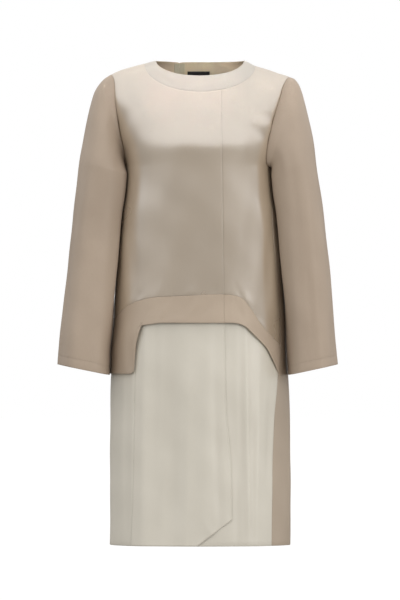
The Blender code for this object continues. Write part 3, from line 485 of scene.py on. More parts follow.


# Lift, wall and painted shade of a grid of cloth from its edges.
def edgeWork(points, edges, seed):
    distance = edgeDistances(points)
    lift, shade = np.zeros(points.shape[:-1]), np.zeros(points.shape[:-1])
    drawn, wall = np.zeros_like(lift), np.full(lift.shape, cloth["wall"])
    for number, (name, kind) in enumerate(edges.items()):
        how, d = edgeKinds[kind], distance[name]
        s = distance["right" if name in ("top", "bottom") else "top"]
        wave = puckers(s, seed + 1.7 * number) * how["pucker"]
        if kind in sewn:
            depth = cloth["seamDip"] * (0.35 if kind == "shoulder" else 1.0)
            lift += wave * np.exp(-d / how["reach"]) - depth * np.exp(-((d / cloth["seamWidth"]) ** 2))
            # painted shade along the seam groove
            shade = np.maximum(shade, np.exp(-((d / 0.0013) ** 2)) * (0.4 if kind == "shoulder" else 1.0))
        elif kind == "hem":
            line = np.exp(-(((d - 0.0193) / 0.0010) ** 2))
            lift += wave * np.exp(-(((d - 0.0193) / how["reach"]) ** 2)) - 0.0003 * line
            # painted shade along the stitched line of the hem
            shade = np.maximum(shade, 0.55 * line)
            wall += cloth["turnUpWall"] * smooth((cloth["turnUp"] - d) / 0.0012)
        elif kind == "blindHem":
            lift += wave * np.exp(-(((d - 0.0193) / how["reach"]) ** 2))
            wall += cloth["turnUpWall"] * smooth((cloth["turnUp"] - d) / 0.0012)
        elif kind == "narrowHem":
            lift += wave * np.exp(-d / how["reach"])
            wall += 0.0004 * smooth((0.008 - d) / 0.001)
        elif kind == "fold":
            wall += 0.0005 * smooth((0.012 - d) / 0.004)
        if kind not in sewn:
            drawn = np.maximum(drawn, cloth["edgeRound"] * (1 - smooth(d / 0.0012)))
    return lift, wall, drawn, shade


pieces = {}
outerGrids = {}


def addPanel(name, grid, edges, creases=(), out=None, seed=1.0, face="taupe"):
    grid = tightened(grid, {key: edgeKinds[kind]["at"] for key, kind in edges.items()})
    angle, z = grid[..., 0], grid[..., 1]
    points = worn(angle, z, out(angle, z) if out else 0.0 * z)
    normals = outward(angle, z)
    lift, wall, drawn, shade = edgeWork(points, edges, seed)
    crease = creaseHeight(points, creases)
    # painted shade at the bottom of each crease
    shade = shade + cloth["valleyShade"] * np.clip(-crease / 0.002, 0, 1)
    lift = lift + crease + driftHeight(points)
    outer = points + normals * (lift - drawn)[..., None]
    inner = points + normals * (lift - wall + drawn)[..., None]
    face = satins[face]
    pieces[name] = addShell(name, outer, inner, face["face"], face["reverse"], shade)
    outerGrids[name] = (outer, normals)
    return pieces[name]


# Satin: fine floats lying up and down the cloth, soft uneven tone, painted shade in seam grooves, stitch
# lines and crease valleys, and a duller reverse that is painted lighter than the face as painted light.
threads = {
    "size": 1500.0, "floatLength": 0.07, "cloud": 7.0, "floatTone": 0.35,
    "toneFrom": (0.45, 0.90), "dullFrom": (0.3, 0.7), "dullSpread": 0.03,
    "paintedShadeDepth": 0.13, "strength": 0.5,
}


def addNode(tree, kind, at, inputs=None, **values):
    node = tree.nodes.new(kind)
    node.location = at
    for key, value in values.items():
        setattr(node, key, value)
    setInputs(node, inputs or {})
    return node


def setInputs(node, inputs):
    for key, value in inputs.items():
        node.inputs[key].default_value = value


def makeThreadGroup():
    tree = bpy.data.node_groups.new("satinThreads", "ShaderNodeTree")
    for name in ("Size", "Float length", "Cloud"):
        tree.interface.new_socket(name, in_out="INPUT", socket_type="NodeSocketFloat")
    for name in ("Tone", "Height", "Dullness"):
        tree.interface.new_socket(name, in_out="OUTPUT", socket_type="NodeSocketFloat")
    given = addNode(tree, "NodeGroupInput", (-900, 0))
    result = addNode(tree, "NodeGroupOutput", (500, 0))
    where = addNode(tree, "ShaderNodeTexCoord", (-900, 300))
    lengthwise = addNode(tree, "ShaderNodeMath", (-700, -100), operation="MULTIPLY")
    stretch = addNode(tree, "ShaderNodeCombineXYZ", (-500, -50))
    scaled = addNode(tree, "ShaderNodeVectorMath", (-300, 150), operation="MULTIPLY")
    floats = addNode(tree, "ShaderNodeTexNoise", (-100, 200), {"Scale": 1.0, "Detail": 2.0})
    cloud = addNode(tree, "ShaderNodeTexNoise", (-100, -100), {"Detail": 3.0})
    tone = addNode(tree, "ShaderNodeMath", (250, 100), {1: threads["floatTone"]}, operation="MULTIPLY_ADD")
    link = tree.links.new
    link(given.outputs["Size"], lengthwise.inputs[0])
    link(given.outputs["Float length"], lengthwise.inputs[1])
    link(given.outputs["Size"], stretch.inputs["X"])
    link(given.outputs["Size"], stretch.inputs["Y"])
    link(lengthwise.outputs[0], stretch.inputs["Z"])
    link(where.outputs["Object"], scaled.inputs[0])
    link(stretch.outputs[0], scaled.inputs[1])
    link(scaled.outputs[0], floats.inputs["Vector"])
    link(where.outputs["Object"], cloud.inputs["Vector"])
    link(given.outputs["Cloud"], cloud.inputs["Scale"])
    link(floats.outputs["Fac"], tone.inputs[0])
    link(cloud.outputs["Fac"], tone.inputs[2])
    link(tone.outputs[0], result.inputs["Tone"])
    link(floats.outputs["Fac"], result.inputs["Height"])
    link(cloud.outputs["Fac"], result.inputs["Dullness"])
    return tree


threadGroup = makeThreadGroup()


# seam is the colour that the painted shade in grooves and crease valleys darkens towards
def makeCloth(name, dark, light, seam, roughness, bump=0.00006, gloss=0.5, index=1.5, size=1.0):
    material = bpy.data.materials.new(name)
    material.use_nodes = True
    tree = material.node_tree
    shader = tree.nodes["Principled BSDF"]
    weave = addNode(tree, "ShaderNodeGroup", (-900, 0), node_tree=threadGroup)
    setInputs(weave, {"Size": threads["size"] * size, "Float length": threads["floatLength"],
                      "Cloud": threads["cloud"]})
    least, most = threads["toneFrom"]
    spread = addNode(tree, "ShaderNodeMapRange", (-650, 150), {"From Min": least, "From Max": most})
    tone = addNode(tree, "ShaderNodeMix", (-450, 150), {"A": (*dark, 1), "B": (*light, 1)}, data_type="RGBA")
    # painted shade: the colour is darkened towards the seam colour where the mesh marks seam grooves, stitch
    # lines and crease valleys
    mark = addNode(tree, "ShaderNodeAttribute", (-650, 400), attribute_name="paintedGrooveShade")
    depth = addNode(tree, "ShaderNodeMath", (-450, 400), {1: threads["paintedShadeDepth"]}, operation="MULTIPLY")
    colour = addNode(tree, "ShaderNodeMix", (-250, 250), {"B": (*seam, 1)}, data_type="RGBA")
    least, most = threads["dullFrom"]
    dull = addNode(tree, "ShaderNodeMapRange", (-450, -100), {
        "From Min": least, "From Max": most,
        "To Min": roughness - threads["dullSpread"], "To Max": roughness + threads["dullSpread"]})
    relief = addNode(tree, "ShaderNodeBump", (-450, -350),
                     {"Distance": bump, "Strength": threads["strength"]})
    link = tree.links.new
    link(weave.outputs["Tone"], spread.inputs["Value"])
    link(spread.outputs["Result"], tone.inputs["Factor"])
    link(mark.outputs["Fac"], depth.inputs[0])
    link(depth.outputs[0], colour.inputs["Factor"])
    link(tone.outputs["Result"], colour.inputs["A"])
    link(colour.outputs["Result"], shader.inputs["Base Color"])
    link(weave.outputs["Dullness"], dull.inputs["Value"])
    link(dull.outputs["Result"], shader.inputs["Roughness"])
    link(weave.outputs["Height"], relief.inputs["Height"])
    link(relief.outputs["Normal"], shader.inputs["Normal"])
    setInputs(shader, {"Specular IOR Level": gloss, "IOR": index})
    return material


satins = {
    "taupe": {
        "face": makeCloth("taupeSatin", (0.372, 0.292, 0.206), (0.425, 0.336, 0.240),
                          (0.16, 0.12, 0.09), 0.30, bump=0.00001,
                          gloss=1.0, index=2.4),
        # painted light: the reverse is lighter than the face so that the inside of the garment looks lit
        "reverse": makeCloth("taupeReversePaintedLight", (0.52, 0.42, 0.30), (0.58, 0.47, 0.34),
                             (0.25, 0.19, 0.14), 0.60, gloss=0.4),
    },
    "cream": {
        "face": makeCloth("creamSatin", (0.560, 0.520, 0.440), (0.612, 0.570, 0.486),
                          (0.30, 0.26, 0.21), 0.42, gloss=0.9, index=1.8),
        "reverse": makeCloth("creamReverse", (0.54, 0.485, 0.40), (0.60, 0.54, 0.45),
                             (0.30, 0.26, 0.21), 0.60, gloss=0.4),
    },
}
satins["quiet"] = {
    "face": makeCloth("quietSatin", (0.342, 0.267, 0.203), (0.392, 0.309, 0.236),
                      (0.16, 0.12, 0.09), 0.50, gloss=0.5, index=1.6),
    "reverse": satins["taupe"]["reverse"],
}
satins["back"] = {
    "face": makeCloth("backSatin", (0.350, 0.275, 0.203), (0.400, 0.317, 0.236),
                      (0.16, 0.12, 0.09), 0.42, gloss=0.8, index=1.8),
    "reverse": satins["taupe"]["reverse"],
}
satins["hem"] = {
    "face": makeCloth("hemSatin", (0.392, 0.312, 0.238), (0.447, 0.359, 0.274),
                      (0.16, 0.12, 0.09), 0.48, gloss=0.5, index=1.6),
    "reverse": satins["taupe"]["reverse"],
}
# painted shade: the front neckband's satin is darker than the rest to offset the extra light on its upturned
# face
satins["neckband"] = {
    "face": makeCloth("neckbandSatinPaintedShade", (0.285, 0.236, 0.176), (0.330, 0.275, 0.206),
                      (0.16, 0.12, 0.09), 0.30, bump=0.00001,
                          gloss=1.0, index=2.4),
    "reverse": satins["taupe"]["reverse"],
}
print("satins made")

# Front body: two panels with an upright seam, under a shaped neckband.
bodice = {
    "bust": (-0.181, 0.030, 0.0042),  # height, reach and fullness of the bust line
    "bustHalf": 0.115,  # how far it reaches to each side
    "mainEdges": {"top": "seam", "bottom": "puckeredSeam", "right": "armhole", "left": "seam"},
    "sideEdges": {"top": "seam", "bottom": "puckeredSeam", "right": "seam", "left": "armhole"},
    "mainCreases": (
        (-0.158, -0.125, 30, 0.035, 0.016, -0.0012, 0.004),
        (-0.150, -0.180, 40, 0.040, 0.018, -0.0010, -0.004),
        (-0.118, -0.330, 4, 0.120, 0.014, 0.0011, 0.006),
        (-0.140, -0.430, -3, 0.090, 0.011, -0.0013, -0.004), (-0.158, -0.380, 2, 0.130, 0.010, 0.0012, 0.003),
        (-0.060, -0.420, 6, 0.130, 0.022, 0.0008, 0.008), (0.010, -0.380, -4, 0.120, 0.024, -0.0008, -0.006),
        (-0.154, -0.508, 62, 0.014, 0.0045, 0.0012, 0.001), (-0.126, -0.494, 40, 0.012, 0.0045, -0.0009, 0.0),
        (-0.017, -0.489, 82, 0.012, 0.0040, 0.0011, 0.001), (0.030, -0.486, 70, 0.010, 0.0040, -0.0009, 0.0),
        (-0.085, -0.484, 20, 0.016, 0.006, 0.0007, 0.001),
    ),
    "sideCreases": (
        (0.130, -0.116, -64, 0.030, 0.010, -0.0016, 0.003),
        (0.132, -0.158, -52, 0.034, 0.012, -0.0016, -0.004),
        (0.126, -0.340, -3, 0.130, 0.012, 0.0013, 0.004),
        (0.144, -0.430, 3, 0.110, 0.009, -0.0014, 0.003), (0.100, -0.450, 5, 0.090, 0.014, -0.0009, -0.005),
        (0.154, -0.470, -4, 0.100, 0.008, 0.0013, 0.002), (0.056, -0.487, 35, 0.012, 0.0045, 0.0010, 0.0),
        (0.081, -0.489, -30, 0.014, 0.0050, -0.0010, 0.001),
        (0.103, -0.508, -42, 0.014, 0.0050, 0.0012, 0.001),
        (0.126, -0.540, -35, 0.016, 0.0055, -0.0009, 0.001),
    ),
}


def bustOut(angle, z):
    height, reach, full = bodice["bust"]
    x = skin(angle, z)[..., 0]
    sides = np.exp(-((x / bodice["bustHalf"]) ** 4))
    return full * np.exp(-(((z - height) / reach) ** 2)) * sides


def frontSeam():
    top = neckSeam(cut["frontSeam"][0], cut["frontSeam"][0] + 1e-6, 1)[0, 1]
    bottom = float(bandZ(cut["frontSeam"][1]))
    t = (1 - np.cos(np.linspace(0, math.pi, steps["armhole"] + 1))) / 2
    z = np.concatenate([top + (cut["underarm"] - top) * t, sideLevels(bottom)])
    x = cut["frontSeam"][0] + (cut["frontSeam"][1] - cut["frontSeam"][0]) * (top - z) / (top - bottom)
    return place(x, z)


def sideEdge(side, facing, extra):
    turns = np.linspace(0, 180 if facing == "front" else -180, steps["armhole"] + 1)
    return np.concatenate([armhole(side, turns), extra])


def bandLine(startX, endX, count, start=None, end=None):
    x = np.linspace(startX, endX, count + 1)
    line = place(x, bandZ(x))
    if start is not None:
        reach = max(1, round(count * 0.17))
        share = np.linspace(0, 1, reach + 1)[:, None]
        line[: reach + 1] = start + (line[reach] - start) * share
        line[1:reach, 1] = bandZ(skin(line[1:reach, 0], line[1:reach, 1])[:, 0])
    if end is not None:
        line[-1] = end
    return line


mainCount = steps["shoulder"] + steps["neck"]["frontMain"]
sideCount = steps["shoulder"] + steps["neck"]["frontSide"]
seamX = cut["frontSeam"][1]
bandMain = bandLine(bandSeamLine[0, 0], seamX, mainCount, start=rightSeam(np.array(rightBandZ)))
bandSide = bandLine(seamX, bandSeamLine[-1, 0], sideCount, end=leftSeam(np.array(leftBandZ)))


def makeBodice():
    seam = frontSeam()
    right = sideEdge("right", "front", rightSeam(sideLevels(rightBandZ)))
    left = sideEdge("left", "front", leftSeam(sideLevels(leftBandZ)))
    neck = steps["neck"]
    topMain = joined(shoulderEdge(-cut["tipHalf"], -cut["bandHalf"]),
                     neckSeam(-cut["bandHalf"], cut["frontSeam"][0], neck["frontMain"]))
    topSide = joined(neckSeam(cut["frontSeam"][0], cut["bandHalf"], neck["frontSide"]),
                     shoulderEdge(cut["bandHalf"], cut["tipHalf"]))
    addPanel("bodiceFrontMain", bodyPatch(topMain, bandMain, right, seam), bodice["mainEdges"],
             bodice["mainCreases"], bustOut, 1.0)
    addPanel("bodiceFrontSide", bodyPatch(topSide, bandSide, seam, left), bodice["sideEdges"],
             bodice["sideCreases"], bustOut, 2.3)


makeBodice()
print("front body sewn")

# Shaped hem band: a square tail on the right, a level stretch, and a pointed tail on the left.
hemBand = {
    "flare": 0.006, "flareHeld": 0.002, "flareDrop": 0.075, "rightHold": 40, "leftHold": 12,
    "mainCorners": ((-0.1365, -0.660, 0.012), (-0.1295, -0.560, 0.010), (-0.084, -0.553, 0.060)),
    "sideCorners": ((0.087, -0.553, 0.050), (0.140, -0.606, 0.080)),
    "mainEdges": {"top": "puckeredSeam", "bottom": "narrowHem", "right": "seam", "left": "seam"},
    "sideEdges": {"top": "puckeredSeam", "bottom": "narrowHem", "right": "seam", "left": "seam"},
    "mainCreases": (
        (-0.160, -0.580, 3, 0.060, 0.009, 0.0013, 0.002), (-0.147, -0.620, -3, 0.045, 0.007, -0.0012, 0.001),
        (-0.176, -0.610, 4, 0.060, 0.009, -0.0011, 0.001), (-0.075, -0.528, 28, 0.018, 0.006, 0.0009, 0.001),
        (-0.010, -0.520, 38, 0.020, 0.006, 0.0009, 0.001), (0.012, -0.528, 30, 0.016, 0.006, -0.0008, 0.0),
        (-0.045, -0.545, 84, 0.020, 0.004, 0.0005, 0.001), (-0.110, -0.530, 45, 0.016, 0.006, -0.0005, 0.001),
    ),
    "sideCreases": (
        (0.066, -0.528, 12, 0.020, 0.006, 0.0010, 0.001), (0.086, -0.532, -20, 0.018, 0.006, -0.0009, 0.001),
        (0.112, -0.556, -40, 0.020, 0.007, 0.0011, 0.001), (0.140, -0.592, -42, 0.026, 0.007, -0.0009, 0.001),
        (0.156, -0.612, -30, 0.026, 0.007, 0.0011, 0.001),
    ),
}


def overlayOut(angle, z):
    x = skin(angle, z)[..., 0]
    swing = smooth((bandZ(x) - z) / hemBand["flareDrop"])
    freed = smooth((angle - rightSeam(z)[..., 0]) / hemBand["rightHold"])
    freed = freed * smooth((leftSeam(z)[..., 0] - angle) / hemBand["leftHold"])
    return swing * (hemBand["flareHeld"] + (hemBand["flare"] - hemBand["flareHeld"]) * freed)


def makeHemBands():
    level = hemBand["mainCorners"][-1][1]
    rows = steps["band"]
    seam = place(seamX, np.linspace(float(bandZ(seamX)), level, rows + 1))
    right = rightSeam(np.linspace(rightBandZ, cut["tail"], rows + 1))
    left = leftSeam(np.linspace(leftBandZ, cut["tail"], rows + 1))
    corner = right[-1]
    outline = rounded((skin(*corner)[0], cut["tail"]), hemBand["mainCorners"], (seamX, level))
    lowerMain = resampled(outline, mainCount)
    lowerMain = place(lowerMain[:, 0], lowerMain[:, 1])
    reach = max(1, round(mainCount * 0.10))
    lowerMain[: reach + 1] = corner + (lowerMain[reach] - corner) * np.linspace(0, 1, reach + 1)[:, None]
    outline = rounded((seamX, level), hemBand["sideCorners"], (skin(*left[-1])[0], cut["tail"]))
    lowerSide = resampled(outline, sideCount)
    lowerSide = place(lowerSide[:, 0], lowerSide[:, 1])
    addPanel("hemBandMain", patch(bandMain, lowerMain, right, seam), hemBand["mainEdges"],
             hemBand["mainCreases"], overlayOut, 3.1, "hem")
    addPanel("hemBandSide", patch(bandSide, lowerSide, seam, left), hemBand["sideEdges"],
             hemBand["sideCreases"], overlayOut, 4.4, "hem")


makeHemBands()
print("hem bands sewn")

# Back: two full-length panels with an off-centre seam that holds the zip, and the neckband.
back = {
    "mainEdges": {"top": "seam", "bottom": "blindHem", "right": "seam", "left": "seam"},
    "sideEdges": {"top": "seam", "bottom": "blindHem", "right": "seam", "left": "seam"},
    "mainCreases": (
        (0.110, -0.160, -35, 0.040, 0.014, 0.0016, 0.004), (0.060, -0.230, -20, 0.060, 0.020, -0.0015, 0.006),
        (0.010, -0.300, 6, 0.100, 0.020, 0.0014, -0.006), (0.120, -0.330, 5, 0.120, 0.016, -0.0014, 0.004),
        (0.070, -0.480, -5, 0.160, 0.020, 0.0016, 0.008), (-0.010, -0.560, 3, 0.180, 0.022, -0.0014, 0.006),
        (0.150, -0.560, 2, 0.140, 0.012, 0.0013, 0.002), (0.100, -0.760, -2, 0.160, 0.016, -0.0014, 0.004),
        (0.175, -0.780, 2, 0.100, 0.008, -0.0012, 0.001),
    ),
    "sideCreases": (
        (-0.120, -0.150, 38, 0.040, 0.014, 0.0016, -0.004),
        (-0.100, -0.240, 16, 0.070, 0.016, -0.0014, 0.005),
        (-0.080, -0.420, -4, 0.140, 0.016, 0.0014, 0.006), (-0.150, -0.480, 3, 0.150, 0.014, -0.0013, 0.002),
        (-0.100, -0.700, 4, 0.160, 0.018, -0.0014, 0.005), (-0.160, -0.820, -3, 0.120, 0.012, 0.0013, 0.002),
    ),
}


def backSeam():
    top = neckSeam(cut["backSeam"], cut["backSeam"] + 1e-6, 1, back=True)[0, 1]
    turn = (rightBandZ + leftBandZ) / 2
    t = (1 - np.cos(np.linspace(0, math.pi, steps["armhole"] + 1))) / 2
    z = np.concatenate([top + (cut["underarm"] - top) * t, sideLevels(turn), skirtLevels(turn)[1:]])
    return place(cut["backSeam"], z, back=True)


def makeBack():
    seam, neck = backSeam(), steps["neck"]
    lowerLeft = np.concatenate([sideLevels(leftBandZ), skirtLevels(leftBandZ)[1:]])
    lowerRight = np.concatenate([sideLevels(rightBandZ), skirtLevels(rightBandZ)[1:]])
    left = sideEdge("left", "back", leftSeam(lowerLeft))
    right = sideEdge("right", "back", rightSeam(lowerRight)) + np.array((360.0, 0.0))
    topMain = joined(shoulderEdge(cut["tipHalf"], cut["bandHalf"], back=True),
                     neckSeam(cut["bandHalf"], cut["backSeam"], neck["backMain"], back=True))
    topSide = joined(neckSeam(cut["backSeam"], -cut["bandHalf"], neck["backSide"], back=True),
                     shoulderEdge(-cut["bandHalf"], -cut["tipHalf"], back=True))
    left[0], right[0] = topMain[0], topSide[-1]

    def hem(start, end, count):
        angles = np.linspace(start[0], end[0], count)
        return np.stack([angles, np.full(count, cut["hem"])], -1)

    addPanel("backMain", bodyPatch(topMain, hem(left[-1], seam[-1], len(topMain)), left, seam),
             back["mainEdges"], back["mainCreases"], None, 5.2, "back")
    addPanel("backSide", bodyPatch(topSide, hem(seam[-1], right[-1], len(topSide)), seam, right),
             back["sideEdges"], back["sideCreases"], None, 6.6, "back")


makeBack()
print("back sewn")

neckband = {
    "frontEdges": {"top": "fold", "bottom": "seam", "right": "shoulder", "left": "shoulder"},
    "mainEdges": {"top": "fold", "bottom": "seam", "right": "shoulder", "left": "seam"},
    "sideEdges": {"top": "fold", "bottom": "seam", "right": "seam", "left": "shoulder"},
    "frontCreases": (
        (0.060, -0.050, 60, 0.016, 0.006, 0.0006, 0.001), (-0.070, -0.045, -55, 0.018, 0.007, -0.0006, 0.001),
        (0.010, -0.056, 84, 0.022, 0.005, 0.0005, 0.001),
    ),
}


def makeNeckband():
    half, band, seam, neck = cut["neckHalf"], cut["bandHalf"], cut["backSeam"], steps["neck"]
    rows = steps["neckRows"]
    countFront = neck["frontMain"] + neck["frontSide"]
    outerFront = joined(neckSeam(-band, cut["frontSeam"][0], neck["frontMain"]),
                        neckSeam(cut["frontSeam"][0], band, neck["frontSide"]))

    def shoulder(side, facingBack):
        return shoulderEdge(side * half, side * band, rows, facingBack)

    topZ = neckEdge(seam, seam + 1e-6, 1, back=True)[0, 1]
    lowZ = neckSeam(seam, seam + 1e-6, 1, back=True)[0, 1]
    zipEnd = place(seam, np.linspace(topZ, lowZ, rows + 1), back=True)
    addPanel("neckbandFront",
             patch(neckEdge(-half, half, countFront), outerFront, shoulder(-1, False), shoulder(1, False)),
             neckband["frontEdges"], neckband["frontCreases"], None, 7.1, "neckband")
    addPanel("neckbandBackMain",
             patch(neckEdge(half, seam, neck["backMain"], True), neckSeam(band, seam, neck["backMain"], True),
                   shoulder(1, True), zipEnd), neckband["mainEdges"], (), None, 8.3, "back")
    addPanel("neckbandBackSide",
             patch(neckEdge(seam, -half, neck["backSide"], True),
                   neckSeam(seam, -band, neck["backSide"], True),
                   zipEnd, shoulder(-1, True)), neckband["sideEdges"], (), None, 9.4, "back")


makeNeckband()
print("neckband sewn")

# Cream skirt front: a side panel, and two panels that wrap over each other.
skirt = {
    "tuck": 0.0029, "underlap": 0.0029, "leaves": -0.56, "settles": 0.14,
    "underStarts": 2, "underSettles": 9, "wrapCorner": (-0.006, -1.0206),
    "sideEdges": {"top": "seam", "bottom": "blindHem", "right": "seam", "left": "seam"},
    "overEdges": {"top": "seam", "bottom": "narrowHem", "right": "seam", "left": "narrowHem"},
    "underEdges": {"top": "seam", "bottom": "blindHem", "right": "edge", "left": "seam"},
    "sideCreases": (
        (-0.165, -0.800, 2, 0.160, 0.008, 0.0014, 0.001), (-0.152, -0.860, 0, 0.200, 0.006, -0.0012, 0.001),
    ),
    "overCreases": (
        (-0.118, -0.800, 1, 0.260, 0.011, 0.0024, 0.003), (-0.062, -0.800, -1, 0.260, 0.019, -0.0030, 0.004),
        (-0.092, -0.700, 1, 0.160, 0.007, -0.0012, -0.003), (-0.028, -0.860, 1, 0.220, 0.010, 0.0018, -0.003),
        (0.012, -0.740, 2, 0.200, 0.014, 0.0022, 0.003), (0.038, -0.860, -2, 0.180, 0.009, -0.0018, 0.002),
        (-0.090, -0.940, 3, 0.110, 0.010, -0.0014, 0.002), (0.020, -0.990, -35, 0.030, 0.008, 0.0010, 0.001),
    ),
    "underCreases": (
        (0.098, -0.760, -1, 0.220, 0.006, 0.0024, 0.002), (0.087, -0.760, -1, 0.220, 0.007, -0.0014, 0.002),
        (0.121, -0.840, 1, 0.160, 0.006, 0.0016, 0.001), (0.110, -0.900, 0, 0.160, 0.006, -0.0016, 0.001),
        (0.142, -0.800, 2, 0.090, 0.006, -0.0020, 0.001), (0.080, -0.930, 1, 0.090, 0.007, -0.0012, 0.001),
    ),
}


def skirtOut(angle, z):
    return -skirt["tuck"] * (1 - smooth((skirt["leaves"] - z) / skirt["settles"]))


def underOut(angle, z):
    past = angle - angleAt(along(wrapLine, z), z) - skirt["underStarts"]
    return skirtOut(angle, z) - skirt["underlap"] * (1 - smooth(past / skirt["underSettles"]))


def makeSkirt():
    levels = skirtLevels(float(bandZ(sidePanelLine[-1, 1])))
    seam = place(along(sidePanelLine, levels), levels)
    right = rightSeam(skirtLevels(rightBandZ))
    left = leftSeam(skirtLevels(leftBandZ))
    cornerZ, cornerX = wrapLine[0]
    levels = skirtLevels(float(bandZ(wrapLine[-1, 1])), cornerZ)
    wrap = place(along(wrapLine, levels), levels)
    levels = skirtLevels(float(bandZ(cut["underEdge"])))
    under = place(cut["underEdge"], levels)

    def top(start, end, count):
        line = start + (end - start) * np.linspace(0, 1, count + 1)[:, None]
        line[1:-1, 1] = bandZ(skin(line[1:-1, 0], line[1:-1, 1])[:, 0])
        return line

    def hem(start, end, count):
        return start + (end - start) * np.linspace(0, 1, count + 1)[:, None]

    count = steps["skirtAcross"]
    slant = np.array(((skin(*seam[-1])[0], cut["hem"]), skirt["wrapCorner"], (cornerX, cornerZ)))
    slant = resampled(slant, count["over"])
    overHem = place(slant[:, 0], slant[:, 1])
    overHem[0], overHem[-1] = seam[-1], wrap[-1]
    addPanel("skirtSide",
             patch(top(right[0], seam[0], count["side"]),
                   hem(right[-1], seam[-1], count["side"]), right, seam),
             skirt["sideEdges"], skirt["sideCreases"], skirtOut, 10.2, "cream")
    addPanel("skirtFrontOver", patch(top(seam[0], wrap[0], count["over"]), overHem, seam, wrap),
             skirt["overEdges"], skirt["overCreases"], skirtOut, 11.5, "cream")
    addPanel("skirtFrontUnder",
             patch(top(under[0], left[0], count["under"]),
                   hem(under[-1], left[-1], count["under"]), under, left),
             skirt["underEdges"], skirt["underCreases"], underOut, 12.8, "cream")


makeSkirt()
print("skirt sewn")

# Sleeves: tubes that fan round the underarm, then hang beside the body.
sleeve = {
    "rings": np.array((  # outermost x right, left, its height, height beside the body, half depth
        (0.2020, 0.1985, -0.0390, -0.2270, 0.046), (0.2120, 0.2075, -0.0500, -0.2290, 0.048),
        (0.2230, 0.2150, -0.0680, -0.2310, 0.051), (0.2315, 0.2225, -0.0950, -0.2330, 0.054),
        (0.2390, 0.2305, -0.1300, -0.2350, 0.057), (0.2470, 0.2380, -0.1700, -0.2375, 0.060),
        (0.2540, 0.2436, -0.2110, -0.2420, 0.062), (0.2625, 0.2550, -0.2850, -0.3050, 0.064),
        (0.2730, 0.2667, -0.3870, -0.4080, 0.065), (0.2820, 0.2750, -0.4750, -0.4970, 0.065),
        (0.2905, 0.2805, -0.5500, -0.5720, 0.066), (0.2980, 0.2880, -0.6405, -0.6625, 0.067),
    )),
    "capRings": 7, "clear": 0.0022, "nearest": 0.7,
    "lean": 0.0105, "leanFrom": 0.36, "leanOver": 0.55,  # it fades out down the sleeve
    "fold": 0.0025, "folds": 5, "foldTurn": 1.0,
    "turns": 96, "capRows": 46, "armRows": 96,
    # turn round the sleeve, z, drift of the turn per metre, length, width in degrees, height
    "creases": {
        "right": ((60, -0.30, 40, 0.090, 13, 0.0022), (95, -0.36, 60, 0.120, 12, -0.0022),
                  (40, -0.46, -30, 0.110, 12, 0.0018), (128, -0.42, 30, 0.120, 13, 0.0020),
                  (80, -0.55, -20, 0.080, 11, -0.0016), (20, -0.20, 60, 0.070, 13, -0.0014),
                  (75, -0.14, 90, 0.050, 12, 0.0014), (118, -0.20, -60, 0.050, 11, 0.0016),
                  (230, -0.36, 40, 0.120, 16, 0.0022), (280, -0.45, -30, 0.120, 15, -0.0020)),
        "left": ((65, -0.32, -30, 0.100, 13, 0.0022), (100, -0.28, -50, 0.090, 12, -0.0022),
                 (35, -0.42, 30, 0.130, 13, 0.0018), (125, -0.46, 20, 0.110, 12, 0.0022),
                 (85, -0.52, 30, 0.090, 11, -0.0018), (22, -0.18, -40, 0.060, 13, 0.0014),
                 (80, -0.13, -80, 0.045, 12, -0.0013), (120, -0.19, 60, 0.050, 11, 0.0016),
                 (235, -0.40, -40, 0.120, 16, 0.0022), (285, -0.34, 30, 0.110, 15, -0.0020)),
    },
}


def beside(sign, y, z):
    angle = solve(lambda a: skin(sign * a, z)[..., 1] - y * sleeve["nearest"], 0, 180, z.shape)
    return worn(sign * angle, z, overlayOut(sign * angle, z))[..., 0] + sign * sleeve["clear"]


